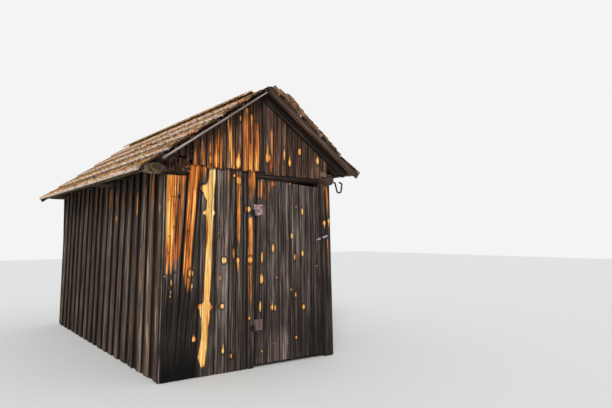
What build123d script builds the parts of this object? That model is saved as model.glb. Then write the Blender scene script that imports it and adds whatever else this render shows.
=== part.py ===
from build123d import *
import os
from math import ceil, cos, degrees, radians, sin, tan

# A small timber field hut: a post frame on ground sills, round tie beams whose ends stick out
# under the eaves, rafters on pole plates, a tiled gable roof, and one outward-opening plank door.
# Millimetres. X runs to the right along the front, Y into the depth, Z up. The origin is on
# the ground, at the middle of the roof's plan.

# Body of the hut
half_length = 2300  # middle to the outer face of the front and back boards
half_width_top = 1045  # middle to the outer face of the side boards, at the gable line
gable_line = 2165  # height where the wall boards end and the gable boards begin
splay = 50  # each side wall stands this much further out at the ground
side_cladding = 45  # boards with cover strips over their joints
front_cladding = 38  # boards of the front and back walls
gable_cladding = 25  # gable boards, nailed in front of the wall boards' plane
gable_lap = 35  # wall boards reach this far up behind the gable boards
board_clearance = 6  # left between board ends and the timber above them
head_clearance = 1  # the same under the front log

# Ground sills, posts, plates and rails
sill_height = 90
sill_width = 100
corner_post_width = 100
door_post_width = 90
middle_post_width = 90
wall_plate_width = 90
wall_plate_height = 90
rail_height = 70
rail_thickness = 50
rail_below_gable = 1115  # underside of the rails below the gable line

# Round tie beams and the pole plates that lie on them
log_radius = 70
log_below_gable = 109  # underside of the logs below the gable line
log_behind_face = 57  # axis of an end log behind the face of the frame
middle_log_forward = 450  # the middle log lies nearer to the front
log_reach_left = 225  # beyond the side boards
log_reach_right = 100
log_seat = 8  # flat cut under a log where it lies on a wall plate
log_tip_length = 115  # the left ends are hewn away from below
log_tip_rise = 32
pole_plate_width = 100
pole_plate_height = 90
pole_plate_seat = 50  # cut into the top of each log
heel_notch_left = 54  # height of the notch in a rafter over the pole plate
heel_notch_right = 24

# Roof
pitch = radians(35)
ridge_shift = 85  # the ridge stands to the right of the middle
eave_overhang = 348  # side boards to the tips of the lowest tiles
verge_reach = 180  # tile edges beyond the front and back boards
tile_thickness = 36  # from the tips of the tiles down to the battens
tile_step = 22  # height of one course's butt over the course below
tile_gauge = 355
ridge_gap = 30  # the slopes stop short of each other along the ridge
batten_thickness = 24
batten_width = 40
batten_setback = 30  # top edge of a batten below the butt line of the next course
ridge_batten_setback = 60
batten_end_left = 18  # batten ends behind the tile edges on the left, open verge
batten_end_right = 34  # the same on the right, and at the back, behind the verge boards
rafter_depth = 90
rafter_thickness = 60
inner_rafters = 5
eave_board_setback = 93  # behind the tips of the lowest tiles
eave_board_thickness = 25
eave_board_height = 45
verge_board_thickness = 24
verge_board_depth = 52
verge_board_start = 2
verge_board_gap = 1  # between the two boards at the back ridge
verge_strip_depth = 84  # board on edge against the gable, under the soffit
verge_strip_thickness = 30
lath_radius = 14
lath_start_left = 280
lath_clearance = 0.1
soffit_thickness = 20
verge_clearance = 2
ridge_tile_wing = 110
ridge_tile_thickness = 14
ridge_tile_count = 11
ridge_tile_spacing = 6
ridge_tiles_missing = 410  # open stretch at the front where the first one is gone

# Doorway and door
door_left_bottom = -8  # hinge edge of the leaf at the ground
door_left_lean = 30  # how far that edge leans to the right at the gable line
jamb_width = 150  # boards between the doorway and the right corner, at the gable line
door_right_lean = 60
door_gap = 8
door_bottom = 38
head_gap_left = 7  # under the lintel, at the hinge side
head_gap_right = 73  # the latch side has sagged
door_thickness = 28
lintel_height = 80
gable_step_x = 120  # the gable boards right of here reach lower
gable_step = 45
gable_lap_right = 10  # lowest gable board over the side of the right pole plate
gable_end_lift = 60  # board ends over the end grain of the right pole plate
missing_boards = 290  # gable boards gone at the left corner
ledge_height = 110
ledge_thickness = 28
ledge_margin_left = 38
ledge_margin_right = 25
brace_width = 100
latch_level = 1395
latch_tilt = radians(17)
hasp_inset = 22  # middle of the hasp inside the leaf's top corner
hasp_length = 62
staple_reach = 98  # hasp to staple plate, middle to middle
staple_length = 78
latch_width = 20
latch_thickness = 4

# Hinges
lower_hinge_level = 463
upper_hinge_drop = 361  # below the lintel
hinge_axis_left = 7  # axis beside the foot of the leaf
hinge_axis_out = 12  # axis in front of the boards
plate_width = 96
plate_height = 120
plate_thickness = 5
knuckle_radius = 9
knuckle_gap = 1
pin_radius = 4.5
pin_clearance = 0.1
plate_clearance = 2
pintle_reach = 45  # axis to the far edge of the pin's leaf

# Iron hook on the end of the front log
hook_radius = 6
hook_below_axis = 34
hook_forward = 50  # in front of the log's axis
hook_neck = 24  # straight length out of the log
hook_slant = 36  # foot of the shank beyond its head
hook_drop = 120
hook_bend = 58  # width of the bend at the foot
hook_rise = 112  # from the foot to the turned tip
hook_flare = 18  # rising side beyond the bend
hook_tip = 44  # turned back over the bend
hook_tip_rise = 16
hook_neck_radius = 12
hook_foot_radius = 25
hook_tip_radius = 14

# Faces and levels that follow from the sizes above
frame_face = half_length - front_cladding
plate_outer = half_width_top - side_cladding
door_right_top = half_width_top - jamb_width
lintel_bottom = gable_line - lintel_height
log_underside = gable_line - log_below_gable
log_left_end = -half_width_top - log_reach_left
log_right_end = half_width_top + log_reach_right
wall_plate_top = log_underside + log_seat
wall_plate_bottom = wall_plate_top - wall_plate_height
log_axis_z = log_underside + log_radius
log_top = log_underside + 2 * log_radius
log_axis_y = frame_face - log_behind_face
log_depths = (-log_axis_y, -middle_log_forward, log_axis_y)
pole_plate_bottom = log_top - pole_plate_seat
covering = tile_thickness + batten_thickness
rafter_underside = covering + rafter_depth
plate_top_left = pole_plate_bottom + pole_plate_height
eave_reach = half_width_top + eave_overhang
eave_board_reach = eave_reach - eave_board_setback
eave_board_back = eave_board_reach - eave_board_thickness
verge_y = half_length + verge_reach
gable_face = -half_length - gable_cladding
wall_top_front = gable_line + gable_lap
back_wall_top = pole_plate_bottom - board_clearance
LEFT, RIGHT = -1, 1

# Top of the tiles at the ridge, if the two slopes met. It follows from the left pole plate.
ridge_height = (
    plate_top_left
    - heel_notch_left
    + rafter_underside / cos(pitch)
    + (plate_outer + ridge_shift) * tan(pitch)
)


def roof_z(x, depth):
    """Height, over x, of the plane that lies at a depth under the tile tips, square to the slope."""
    return ridge_height - depth / cos(pitch) - abs(x - ridge_shift) * tan(pitch)


def slope_length(side):
    """Length of a slope from the tile tips at the eave to the ridge."""
    return (eave_reach - side * ridge_shift) / cos(pitch)


def on_slope(side, run, depth):
    """Point of the roof's section: run up the slope from the eave tip, depth square to it."""
    x = side * (eave_reach - run * cos(pitch) - depth * sin(pitch))
    z = roof_z(side * eave_reach, 0) + run * sin(pitch) - depth * cos(pitch)
    return (x, z)


def slope_bar(side, start, end, top, bottom):
    """Section of a piece that lies in the slope, cut square at both ends."""
    return [
        on_slope(side, start, top),
        on_slope(side, end, top),
        on_slope(side, end, bottom),
        on_slope(side, start, bottom),
    ]


def slope_to_ridge(side, start, top, bottom, gap=0):
    """Section of a piece in the slope that runs up to a plumb cut at the ridge."""
    ridge_x = ridge_shift + side * gap
    return [
        on_slope(side, start, top),
        (ridge_x, roof_z(ridge_x, top)),
        (ridge_x, roof_z(ridge_x, bottom)),
        on_slope(side, start, bottom),
    ]


def half_width(height, inset=0):
    """Half the hut's width at a height, less an inset from the outer face of the side boards."""
    return half_width_top - inset + splay * max(0, 1 - height / gable_line)


def leaning(side, inset, width, bottom, top):
    """Section of a piece that leans outwards with the side wall."""
    return [
        (side * half_width(bottom, inset), bottom),
        (side * half_width(bottom, inset + width), bottom),
        (side * half_width(top, inset + width), top),
        (side * half_width(top, inset), top),
    ]


def door_left(height):
    """Hinge edge of the door leaf at a height."""
    return door_left_bottom + door_left_lean * height / gable_line


def door_right(height):
    """Latch edge of the door leaf at a height."""
    return door_right_top + door_right_lean * (1 - height / gable_line)


def across(depth):
    """Upright plane across the hut. Extruding by a negative amount goes deeper into it."""
    return Plane.XZ.offset(-depth)


def shape(points):
    """Flat shape through the points, added to the sketch that is open."""
    Polygon(*points, align=None)


def save(part, name):
    """Label a finished piece and write it as its own STEP file."""
    part.label = name
    export_step(part, f"parts/{name}.step")


os.makedirs("parts", exist_ok=True)


# Ground sills: squared timbers on the ground that carry the posts

for side, name in ((LEFT, "sill_left"), (RIGHT, "sill_right")):
    with BuildPart() as side_sill:
        with BuildSketch(across(-frame_face)):
            shape(leaning(side, side_cladding, sill_width, 0, sill_height))
        extrude(amount=-2 * frame_face)
    save(side_sill.part, name)

sill_inset = side_cladding + sill_width
door_post_right = door_left_bottom - door_gap - board_clearance
door_post_left = door_post_right - door_post_width

with BuildPart() as sill_front:
    with BuildSketch(across(-frame_face)):
        shape([
            (-half_width(0, sill_inset), 0),
            (door_post_left, 0),
            (door_post_left, sill_height),
            (-half_width(sill_height, sill_inset), sill_height),
        ])
    extrude(amount=-sill_width)
save(sill_front.part, "sill_front")

with BuildPart() as sill_back:
    with BuildSketch(across(frame_face - sill_width)):
        shape([
            (-half_width(0, sill_inset), 0),
            (half_width(0, sill_inset), 0),
            (half_width(sill_height, sill_inset), sill_height),
            (-half_width(sill_height, sill_inset), sill_height),
        ])
    extrude(amount=-sill_width)
save(sill_back.part, "sill_back")


# Posts: they lean outwards towards the ground with the side walls

corners = (
    (LEFT, -frame_face, "corner_post_front_left"),
    (RIGHT, -frame_face, "corner_post_front_right"),
    (LEFT, frame_face - corner_post_width, "corner_post_back_left"),
    (RIGHT, frame_face - corner_post_width, "corner_post_back_right"),
)
for side, start, name in corners:
    with BuildPart() as corner_post:
        with BuildSketch(across(start)):
            shape(leaning(side, side_cladding, corner_post_width, sill_height, wall_plate_bottom))
        extrude(amount=-corner_post_width)
    save(corner_post.part, name)

with BuildPart() as middle_posts:
    with BuildSketch(across(-middle_post_width / 2)):
        for side in (LEFT, RIGHT):
            shape(leaning(side, side_cladding, middle_post_width, sill_height, wall_plate_bottom))
    extrude(amount=-middle_post_width)
save(middle_posts.part, "middle_posts")

# The door post stands on the ground and is scribed to the underside of the front log.
with BuildPart() as door_post:
    with BuildSketch(across(-frame_face)):
        with Locations((door_post_right, 0)):
            Rectangle(door_post_width, log_axis_z, align=(Align.MAX, Align.MIN))
    extrude(amount=-door_post_width)
    with BuildSketch(Plane.YZ.offset(door_post_left)):
        with Locations((-log_axis_y, log_axis_z)):
            Circle(log_radius)
    extrude(amount=door_post_width, mode=Mode.SUBTRACT)
    with Locations((door_post_right, -frame_face + log_behind_face, log_axis_z)):
        Box(
            door_post_width,
            door_post_width + log_radius,
            2 * log_radius - log_behind_face,
            align=(Align.MAX, Align.CENTER, Align.CENTER),
            mode=Mode.SUBTRACT,
        )
save(door_post.part, "door_post")


# Wall plates, and rails half way up that the boards are nailed to

for side, name in ((LEFT, "wall_plate_left"), (RIGHT, "wall_plate_right")):
    with BuildPart() as wall_plate:
        with BuildSketch(across(-frame_face)):
            shape(leaning(side, side_cladding, wall_plate_width, wall_plate_bottom, wall_plate_top))
        extrude(amount=-2 * frame_face)
    save(wall_plate.part, name)

rail_level = gable_line - rail_below_gable
rail_top = rail_level + rail_height
rail_length = frame_face - corner_post_width - middle_post_width / 2
corner_inset = side_cladding + corner_post_width
with BuildPart() as wall_rails:
    with BuildSketch(across(corner_post_width - frame_face), across(middle_post_width / 2)):
        for side in (LEFT, RIGHT):
            shape(leaning(side, side_cladding, rail_thickness, rail_level, rail_top))
    extrude(amount=-rail_length)
    with BuildSketch(across(frame_face - rail_thickness)):
        shape([
            (-half_width(rail_level, corner_inset), rail_level),
            (half_width(rail_level, corner_inset), rail_level),
            (half_width(rail_top, corner_inset), rail_top),
            (-half_width(rail_top, corner_inset), rail_top),
        ])
    extrude(amount=-rail_thickness)
save(wall_rails.part, "wall_rails")


# Tie beams: round logs across the hut, cut flat on the wall plates, with seats on top for the
# pole plates. The end logs are hewn flat behind the boards, between the side walls.

pole_plate_middle = plate_outer - pole_plate_width / 2
for depth, name in zip(log_depths, ("tie_beam_front", "tie_beam_middle", "tie_beam_back")):
    with BuildPart() as tie_beam:
        with BuildSketch(Plane.YZ.offset(log_left_end)):
            with Locations((depth, log_axis_z)):
                Circle(log_radius)
        extrude(amount=log_right_end - log_left_end)
        for side in (LEFT, RIGHT):
            with Locations((side * pole_plate_middle, depth, pole_plate_bottom)):
                Box(
                    pole_plate_width,
                    2 * log_radius,
                    2 * pole_plate_seat,
                    align=(Align.CENTER, Align.CENTER, Align.MIN),
                    mode=Mode.SUBTRACT,
                )
        with BuildSketch(across(depth - log_radius)):
            for side in (LEFT, RIGHT):
                shape(leaning(side, side_cladding, wall_plate_width, wall_plate_bottom, wall_plate_top))
        extrude(amount=-2 * log_radius, mode=Mode.SUBTRACT)
        for face in (-frame_face, frame_face):
            with Locations((0, face, log_axis_z)):
                Box(
                    2 * half_width(log_underside),
                    2 * log_radius,
                    2 * log_radius,
                    align=(Align.CENTER, Align.MAX if face < 0 else Align.MIN, Align.CENTER),
                    mode=Mode.SUBTRACT,
                )
        with BuildSketch(across(depth - log_radius)):
            shape([
                (log_left_end, log_underside),
                (log_left_end + log_tip_length, log_underside),
                (log_left_end, log_underside + log_tip_rise),
            ])
            shape(slope_bar(LEFT, 0, slope_length(LEFT), -log_radius, covering))
        extrude(amount=-2 * log_radius, mode=Mode.SUBTRACT)
    save(tie_beam.part, name)


# Pole plates: they lie in the logs' seats and carry the rafters. The right one is deeper,
# because the ridge stands to the right of the middle.

plate_tops = {
    LEFT: plate_top_left,
    RIGHT: roof_z(plate_outer, rafter_underside) + heel_notch_right,
}
for side, name in ((LEFT, "pole_plate_left"), (RIGHT, "pole_plate_right")):
    with BuildPart() as pole_plate:
        with Locations((side * pole_plate_middle, 0, pole_plate_bottom)):
            Box(
                pole_plate_width,
                2 * half_length,
                plate_tops[side] - pole_plate_bottom,
                align=(Align.CENTER, Align.CENTER, Align.MIN),
            )
    save(pole_plate.part, name)


# Rafters: notched over the pole plates, with a plumb cut at the ridge and a level cut under
# the tail. The end pairs stop on the logs that stick out.

eave_board_top = {side: roof_z(side * eave_board_reach, tile_thickness) for side in (LEFT, RIGHT)}


def rafter_section(side, tail_level):
    """Section of a rafter, drawn in the open sketch."""
    tail_x = side * eave_board_back
    shape([
        (ridge_shift, roof_z(ridge_shift, covering)),
        (ridge_shift, roof_z(ridge_shift, rafter_underside)),
        (tail_x, roof_z(tail_x, rafter_underside)),
        (tail_x, roof_z(tail_x, covering)),
    ])
    with Locations((side * pole_plate_middle, plate_tops[side])):
        Rectangle(
            pole_plate_width,
            rafter_depth * 3,
            align=(Align.CENTER, Align.MAX),
            mode=Mode.SUBTRACT,
        )
    outward = Align.MAX if side == LEFT else Align.MIN
    with Locations((side * plate_outer, tail_level)):
        Rectangle(eave_reach, ridge_height, align=(outward, Align.MAX), mode=Mode.SUBTRACT)


rafter_spacing = (2 * half_length - rafter_thickness) / (inner_rafters + 1)
inner_starts = [-half_length + rafter_spacing * (i + 1) for i in range(inner_rafters)]
for side, name in ((LEFT, "rafters_left"), (RIGHT, "rafters_right")):
    tail_bottom = eave_board_top[side] - eave_board_height
    with BuildPart() as rafters:
        with BuildSketch(*[across(start) for start in inner_starts]):
            rafter_section(side, tail_bottom)
        extrude(amount=-rafter_thickness)
        with BuildSketch(across(-half_length), across(half_length - rafter_thickness)):
            rafter_section(side, max(tail_bottom, log_top))
        extrude(amount=-rafter_thickness)
    save(rafters.part, name)


# Battens: one under the head of each course of tiles, and one below the ridge

for side, front_end, name in (
    (LEFT, batten_end_left, "battens_left"),
    (RIGHT, batten_end_right, "battens_right"),
):
    length = slope_length(side)
    course_battens = int((length - ridge_batten_setback - 2 * batten_width) // tile_gauge)
    batten_tops = [(i + 1) * tile_gauge - batten_setback for i in range(course_battens)]
    batten_tops.append(length - ridge_batten_setback)
    with BuildPart() as battens:
        with BuildSketch(across(front_end - verge_y)):
            for top in batten_tops:
                shape(slope_bar(side, top - batten_width, top, tile_thickness, covering))
        extrude(amount=front_end + batten_end_right - 2 * verge_y)
    save(battens.part, name)


# Tiled covering: courses stepped down the slope, each butt standing over the course below


def tile_section(side):
    """Saw-tooth section of the tiled covering, from the eave tips to the ridge."""
    end = slope_length(side) - ridge_gap
    courses = ceil(end / tile_gauge - 0.2)
    points = [on_slope(side, 0, tile_thickness)]
    for course in range(courses):
        butt = course * tile_gauge
        head = end if course == courses - 1 else butt + tile_gauge
        points.append(on_slope(side, butt, 0))
        points.append(on_slope(side, head, tile_step * (head - butt) / tile_gauge))
    points.append(on_slope(side, end, tile_thickness))
    return points


for side, name in ((LEFT, "roof_tiles_left"), (RIGHT, "roof_tiles_right")):
    with BuildPart() as roof_tiles:
        with BuildSketch(across(-verge_y)):
            shape(tile_section(side))
        extrude(amount=-2 * verge_y)
    save(roof_tiles.part, name)


def tile_depth(side, run):
    """Depth of the tiles' surface below the tile tips at a run up the slope."""
    return tile_step * (run % tile_gauge) / tile_gauge


# Ridge tiles: angled caps that rest on the top courses. The first one is gone.
wing_runs = {side: slope_length(side) - ridge_tile_wing for side in (LEFT, RIGHT)}
ridge_seat = min(tile_depth(side, wing_runs[side]) for side in (LEFT, RIGHT))
ridge_outer = ridge_seat - ridge_tile_thickness
ridge_run = 2 * verge_y - ridge_tiles_missing
ridge_tile_length = ridge_run / ridge_tile_count - ridge_tile_spacing
ridge_starts = [
    ridge_tiles_missing - verge_y + i * ridge_run / ridge_tile_count for i in range(ridge_tile_count)
]
with BuildPart() as ridge_tiles:
    with BuildSketch(*[across(start) for start in ridge_starts]):
        shape([
            on_slope(LEFT, wing_runs[LEFT], ridge_seat),
            on_slope(LEFT, wing_runs[LEFT], ridge_outer),
            (ridge_shift, roof_z(ridge_shift, ridge_outer)),
            on_slope(RIGHT, wing_runs[RIGHT], ridge_outer),
            on_slope(RIGHT, wing_runs[RIGHT], ridge_seat),
            (ridge_shift, roof_z(ridge_shift, ridge_seat)),
        ])
    extrude(amount=-ridge_tile_length)
save(ridge_tiles.part, "ridge_tiles")


# Eave boards on the rafter tails, under the lowest tiles

with BuildPart() as eave_boards:
    with BuildSketch(across(batten_end_right - verge_y)):
        for side in (LEFT, RIGHT):
            inner = side * eave_board_back
            outer = side * eave_board_reach
            top = eave_board_top[side]
            shape([
                (inner, top - eave_board_height),
                (outer, top - eave_board_height),
                (outer, top),
                (inner, top),
            ])
    extrude(amount=2 * batten_end_right - 2 * verge_y)
save(eave_boards.part, "eave_boards")


# Front verges: a peeled pole under the batten ends of each slope. On the right there are also a
# plank over the batten ends, a soffit board, and a board on edge between the soffit and the
# gable. The plank on the left is gone.

lath_depth = covering + lath_radius
above_eave_board = (eave_reach - eave_board_back - covering * sin(pitch)) / cos(pitch) + verge_clearance
with BuildPart() as verge_laths:
    for side, start, front_end in (
        (LEFT, lath_start_left, batten_end_left),
        (RIGHT, above_eave_board, batten_end_right),
    ):
        foot = on_slope(side, start, lath_depth)
        lath_y = front_end + lath_radius - verge_y
        up_slope = (-side * cos(pitch), 0, sin(pitch))
        lath_end = slope_length(side) - (lath_depth + lath_radius) * tan(pitch) - lath_clearance
        with BuildSketch(Plane(origin=(foot[0], lath_y, foot[1]), x_dir=(0, 1, 0), z_dir=up_slope)):
            Circle(lath_radius)
        extrude(amount=lath_end - start)
save(verge_laths.part, "verge_laths")

verge_board_bottom = tile_thickness + verge_board_depth
with BuildPart() as verge_boards:
    with BuildSketch(across(batten_end_right - verge_board_thickness - verge_y)):
        shape(slope_to_ridge(RIGHT, verge_board_start, tile_thickness, verge_board_bottom))
    extrude(amount=-verge_board_thickness)
    with BuildSketch(across(verge_y - batten_end_right)):
        for side in (LEFT, RIGHT):
            shape(slope_to_ridge(
                side, verge_board_start, tile_thickness, verge_board_bottom, verge_board_gap
            ))
    extrude(amount=-verge_board_thickness)
save(verge_boards.part, "verge_boards")

soffit_front = batten_end_right + 2 * lath_radius + verge_clearance - verge_y
strip_front = gable_face - verge_strip_thickness
with BuildPart() as verge_soffit:
    with BuildSketch(across(soffit_front)):
        shape(slope_to_ridge(RIGHT, above_eave_board, covering, covering + soffit_thickness))
    extrude(amount=soffit_front - strip_front)
save(verge_soffit.part, "verge_soffit")

with BuildPart() as verge_strip:
    with BuildSketch(across(strip_front)):
        shape(slope_to_ridge(RIGHT, above_eave_board, covering, covering + verge_strip_depth))
    extrude(amount=-verge_strip_thickness)
save(verge_strip.part, "verge_strip")


# Side walls: vertical boards, cut round the logs that pass through them

for side, name in ((LEFT, "left_wall"), (RIGHT, "right_wall")):
    side_top = roof_z(side * half_width_top, rafter_underside) - board_clearance
    with BuildPart() as side_wall:
        with BuildSketch(across(-frame_face)):
            shape(leaning(side, 0, side_cladding, 0, side_top))
        extrude(amount=-2 * frame_face)
        with BuildSketch(Plane.YZ.offset(-eave_reach)):
            for depth in log_depths:
                with Locations((depth, log_axis_z)):
                    Circle(log_radius + board_clearance)
                    Rectangle(
                        2 * (log_radius + board_clearance),
                        side_top,
                        align=(Align.CENTER, Align.MIN),
                    )
        extrude(amount=2 * eave_reach, mode=Mode.SUBTRACT)
    save(side_wall.part, name)


# Front wall beside the doorway. The boards at the left corner end under the broken log.

wall_edge_top = (door_left(wall_top_front) - door_gap, wall_top_front)
gable_left = missing_boards - half_width_top
low_top = log_underside - head_clearance
with BuildPart() as front_wall_left:
    with BuildSketch(across(-half_length)):
        shape([
            (-half_width(0), 0),
            (door_left(0) - door_gap, 0),
            wall_edge_top,
            (gable_left, wall_top_front),
            (gable_left, low_top),
            (-half_width(low_top), low_top),
        ])
    extrude(amount=-front_cladding)
save(front_wall_left.part, "front_wall_left")

with BuildPart() as front_wall_right:
    with BuildSketch(across(-half_length)):
        shape([
            (door_right(0) + door_gap, 0),
            (half_width(0), 0),
            (half_width(low_top), low_top),
            (door_right(low_top) + door_gap, low_top),
        ])
    extrude(amount=-front_cladding)
save(front_wall_right.part, "front_wall_right")

with BuildPart() as door_lintel:
    with BuildSketch(across(-half_length)):
        shape([
            (door_left(lintel_bottom) - door_gap, lintel_bottom),
            (door_right_top, lintel_bottom),
            (door_right_top, gable_line),
            (door_left(gable_line) - door_gap, gable_line),
        ])
    extrude(amount=-front_cladding)
save(door_lintel.part, "door_lintel")


# Gables: vertical boards up to the undersides of the battens

gable_bottom_right = gable_line - gable_step
gable_right = plate_outer - pole_plate_width + gable_lap_right
gable_end_level = gable_line + gable_end_lift
with BuildPart() as front_gable:
    with BuildSketch(across(gable_face)):
        shape([
            (gable_left, gable_line),
            (gable_step_x, gable_line),
            (gable_step_x, gable_bottom_right),
            (gable_right, gable_bottom_right),
            (gable_right, gable_end_level),
            (plate_outer, gable_end_level),
            (plate_outer, roof_z(plate_outer, covering)),
            (ridge_shift, roof_z(ridge_shift, covering)),
            (gable_left, roof_z(gable_left, covering)),
        ])
    extrude(amount=-gable_cladding)
save(front_gable.part, "front_gable")

with BuildPart() as back_gable:
    with BuildSketch(across(half_length)):
        shape([
            (-plate_outer, back_wall_top - gable_lap),
            (plate_outer, back_wall_top - gable_lap),
            (plate_outer, roof_z(plate_outer, covering)),
            (ridge_shift, roof_z(ridge_shift, covering)),
            (-plate_outer, roof_z(-plate_outer, covering)),
        ])
    extrude(amount=-gable_cladding)
save(back_gable.part, "back_gable")

with BuildPart() as back_wall:
    with BuildSketch(across(frame_face)):
        shape([
            (-half_width(0), 0),
            (half_width(0), 0),
            (half_width(back_wall_top), back_wall_top),
            (-half_width(back_wall_top), back_wall_top),
        ])
    extrude(amount=-front_cladding)
save(back_wall.part, "back_wall")


# Door: a ledged and braced leaf of vertical planks, in the plane of the front boards

door_top_left = lintel_bottom - head_gap_left
door_top_right = lintel_bottom - head_gap_right
with BuildPart() as door_leaf:
    with BuildSketch(across(-half_length)):
        shape([
            (door_left(door_bottom), door_bottom),
            (door_right(door_bottom), door_bottom),
            (door_right(door_top_right), door_top_right),
            (door_left(door_top_left), door_top_left),
        ])
    extrude(amount=-door_thickness)
save(door_leaf.part, "door_leaf")

leaf_back = door_thickness - half_length
hinge_levels = (lower_hinge_level, lintel_bottom - upper_hinge_drop)
ledge_left = door_left(gable_line) + ledge_margin_left
ledge_right = door_right_top - ledge_margin_right
with BuildPart() as door_ledges:
    with BuildSketch(across(leaf_back)):
        for level in hinge_levels:
            with Locations((ledge_left, level)):
                Rectangle(ledge_right - ledge_left, ledge_height, align=(Align.MIN, Align.CENTER))
    extrude(amount=-ledge_thickness)
save(door_ledges.part, "door_ledges")

# The brace rises from the hinge side of the lower ledge to the latch side of the upper one.
brace_low = hinge_levels[0] + ledge_height / 2
brace_high = hinge_levels[1] - ledge_height / 2
with BuildPart() as door_brace:
    with BuildSketch(across(leaf_back)):
        shape([
            (ledge_left + brace_width / 2, brace_low),
            (ledge_left + 2 * brace_width, brace_low),
            (ledge_right - brace_width / 2, brace_high),
            (ledge_right - 2 * brace_width, brace_high),
        ])
    extrude(amount=-ledge_thickness)
save(door_brace.part, "door_brace")


# Hinges: a square plate and its knuckle on the leaf, turning on a pin held in a knuckle below.
# The pin's leaf is nailed to the boards beside the doorway.

hinge_axis_x = door_left_bottom - hinge_axis_left
hinge_y = -half_length - hinge_axis_out
plate_front = -half_length - plate_thickness
knuckle_height = plate_height / 2
plate_left = hinge_axis_x + knuckle_radius + plate_clearance
with BuildPart() as hinge_plates:
    for level in hinge_levels:
        with Locations((plate_left, -half_length, level)):
            Box(
                plate_width,
                plate_thickness,
                plate_height,
                align=(Align.MIN, Align.MAX, Align.CENTER),
            )
        with Locations((hinge_axis_x, plate_front, level + knuckle_gap)):
            Box(
                plate_left - hinge_axis_x,
                hinge_axis_out - plate_thickness,
                knuckle_height - knuckle_gap,
                align=(Align.MIN, Align.MAX, Align.MIN),
            )
        with Locations((plate_left, plate_front, level + knuckle_gap)):
            Box(
                plate_thickness,
                hinge_axis_out - plate_thickness,
                knuckle_height - knuckle_gap,
                align=(Align.MIN, Align.MAX, Align.MIN),
            )
        with Locations((hinge_axis_x, hinge_y, level + knuckle_gap)):
            Cylinder(
                knuckle_radius,
                knuckle_height - knuckle_gap,
                align=(Align.CENTER, Align.CENTER, Align.MIN),
            )
            Cylinder(
                pin_radius + pin_clearance,
                knuckle_height,
                align=(Align.CENTER, Align.CENTER, Align.MIN),
                mode=Mode.SUBTRACT,
            )
save(hinge_plates.part, "hinge_plates")

with BuildPart() as hinge_pintles:
    for level in hinge_levels:
        with Locations((hinge_axis_x - knuckle_radius, -half_length, level)):
            Box(
                pintle_reach - knuckle_radius,
                plate_thickness,
                knuckle_height,
                align=(Align.MAX, Align.MAX, Align.MAX),
            )
        with Locations((hinge_axis_x, -half_length, level)):
            Box(
                2 * knuckle_radius,
                hinge_axis_out,
                knuckle_height,
                align=(Align.MAX, Align.MAX, Align.MAX),
            )
        with Locations((hinge_axis_x, hinge_y, level)):
            Cylinder(
                knuckle_radius,
                knuckle_height,
                align=(Align.CENTER, Align.CENTER, Align.MAX),
            )
            Cylinder(
                pin_radius,
                knuckle_height,
                align=(Align.CENTER, Align.CENTER, Align.MIN),
            )
save(hinge_pintles.part, "hinge_pintles")


# Latch: a strap on the leaf and the staple plate beside it on the jamb boards

hasp_x = door_right_top - hasp_inset
staple_level = latch_level + staple_reach * tan(latch_tilt)
for centre, level, length, name in (
    (hasp_x, latch_level, hasp_length, "latch_hasp"),
    (hasp_x + staple_reach, staple_level, staple_length, "latch_staple"),
):
    with BuildPart() as latch:
        with BuildSketch(across(-half_length)):
            with Locations((centre, level)):
                SlotOverall(length, latch_width, rotation=degrees(latch_tilt))
        extrude(amount=latch_thickness)
    save(latch.part, name)


# Iron hook: a round rod driven into the end of the front log, bent down, round and up again

hook_y = -log_axis_y - hook_forward
hook_level = log_axis_z - hook_below_axis
hook_foot = hook_level - hook_drop
shank_foot_x = log_right_end + hook_neck + hook_slant
return_x = shank_foot_x + hook_bend + hook_flare
hook_points = [
    (log_right_end, hook_level),
    (log_right_end + hook_neck, hook_level),
    (shank_foot_x, hook_foot),
    (shank_foot_x + hook_bend, hook_foot),
    (return_x, hook_foot + hook_rise),
    (return_x - hook_tip, hook_foot + hook_rise + hook_tip_rise),
]
hook_radii = (hook_neck_radius, hook_foot_radius, hook_foot_radius, hook_tip_radius)
with BuildPart() as iron_hook:
    with BuildLine(across(hook_y)) as hook_route:
        FilletPolyline(*hook_points, radius=hook_radii)
    with BuildSketch(Plane(origin=hook_route.line @ 0, z_dir=hook_route.line % 0)):
        Circle(hook_radius)
    sweep()
save(iron_hook.part, "iron_hook")
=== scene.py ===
import bpy
import math
import numpy as np
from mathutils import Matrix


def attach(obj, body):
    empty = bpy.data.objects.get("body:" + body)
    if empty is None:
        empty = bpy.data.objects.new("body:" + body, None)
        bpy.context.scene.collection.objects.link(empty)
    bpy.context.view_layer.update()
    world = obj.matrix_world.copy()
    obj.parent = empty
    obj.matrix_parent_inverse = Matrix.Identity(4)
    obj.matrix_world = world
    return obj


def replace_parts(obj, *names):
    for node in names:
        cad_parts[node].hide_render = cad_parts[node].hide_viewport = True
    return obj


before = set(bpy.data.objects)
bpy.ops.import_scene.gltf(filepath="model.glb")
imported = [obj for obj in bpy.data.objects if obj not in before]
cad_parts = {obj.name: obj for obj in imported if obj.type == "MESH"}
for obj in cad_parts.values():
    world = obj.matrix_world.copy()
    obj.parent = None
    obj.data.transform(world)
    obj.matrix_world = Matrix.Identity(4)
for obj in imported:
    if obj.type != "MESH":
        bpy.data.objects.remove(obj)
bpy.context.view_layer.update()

# Hidden frame of the hut: sills, posts, plates and rails of rough-sawn spruce. The timbers are
# squared, butted and pegged, brown where they stay dry and greyer at the weathered faces.
pitch = math.radians(35)
ridge_x = 0.085
quarter = math.pi / 2
grain_turns = {"x": (0, -quarter, 0), "y": (quarter, 0, 0), "z": (0, 0, 0), "slope": (0, quarter - pitch, 0)}


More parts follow.
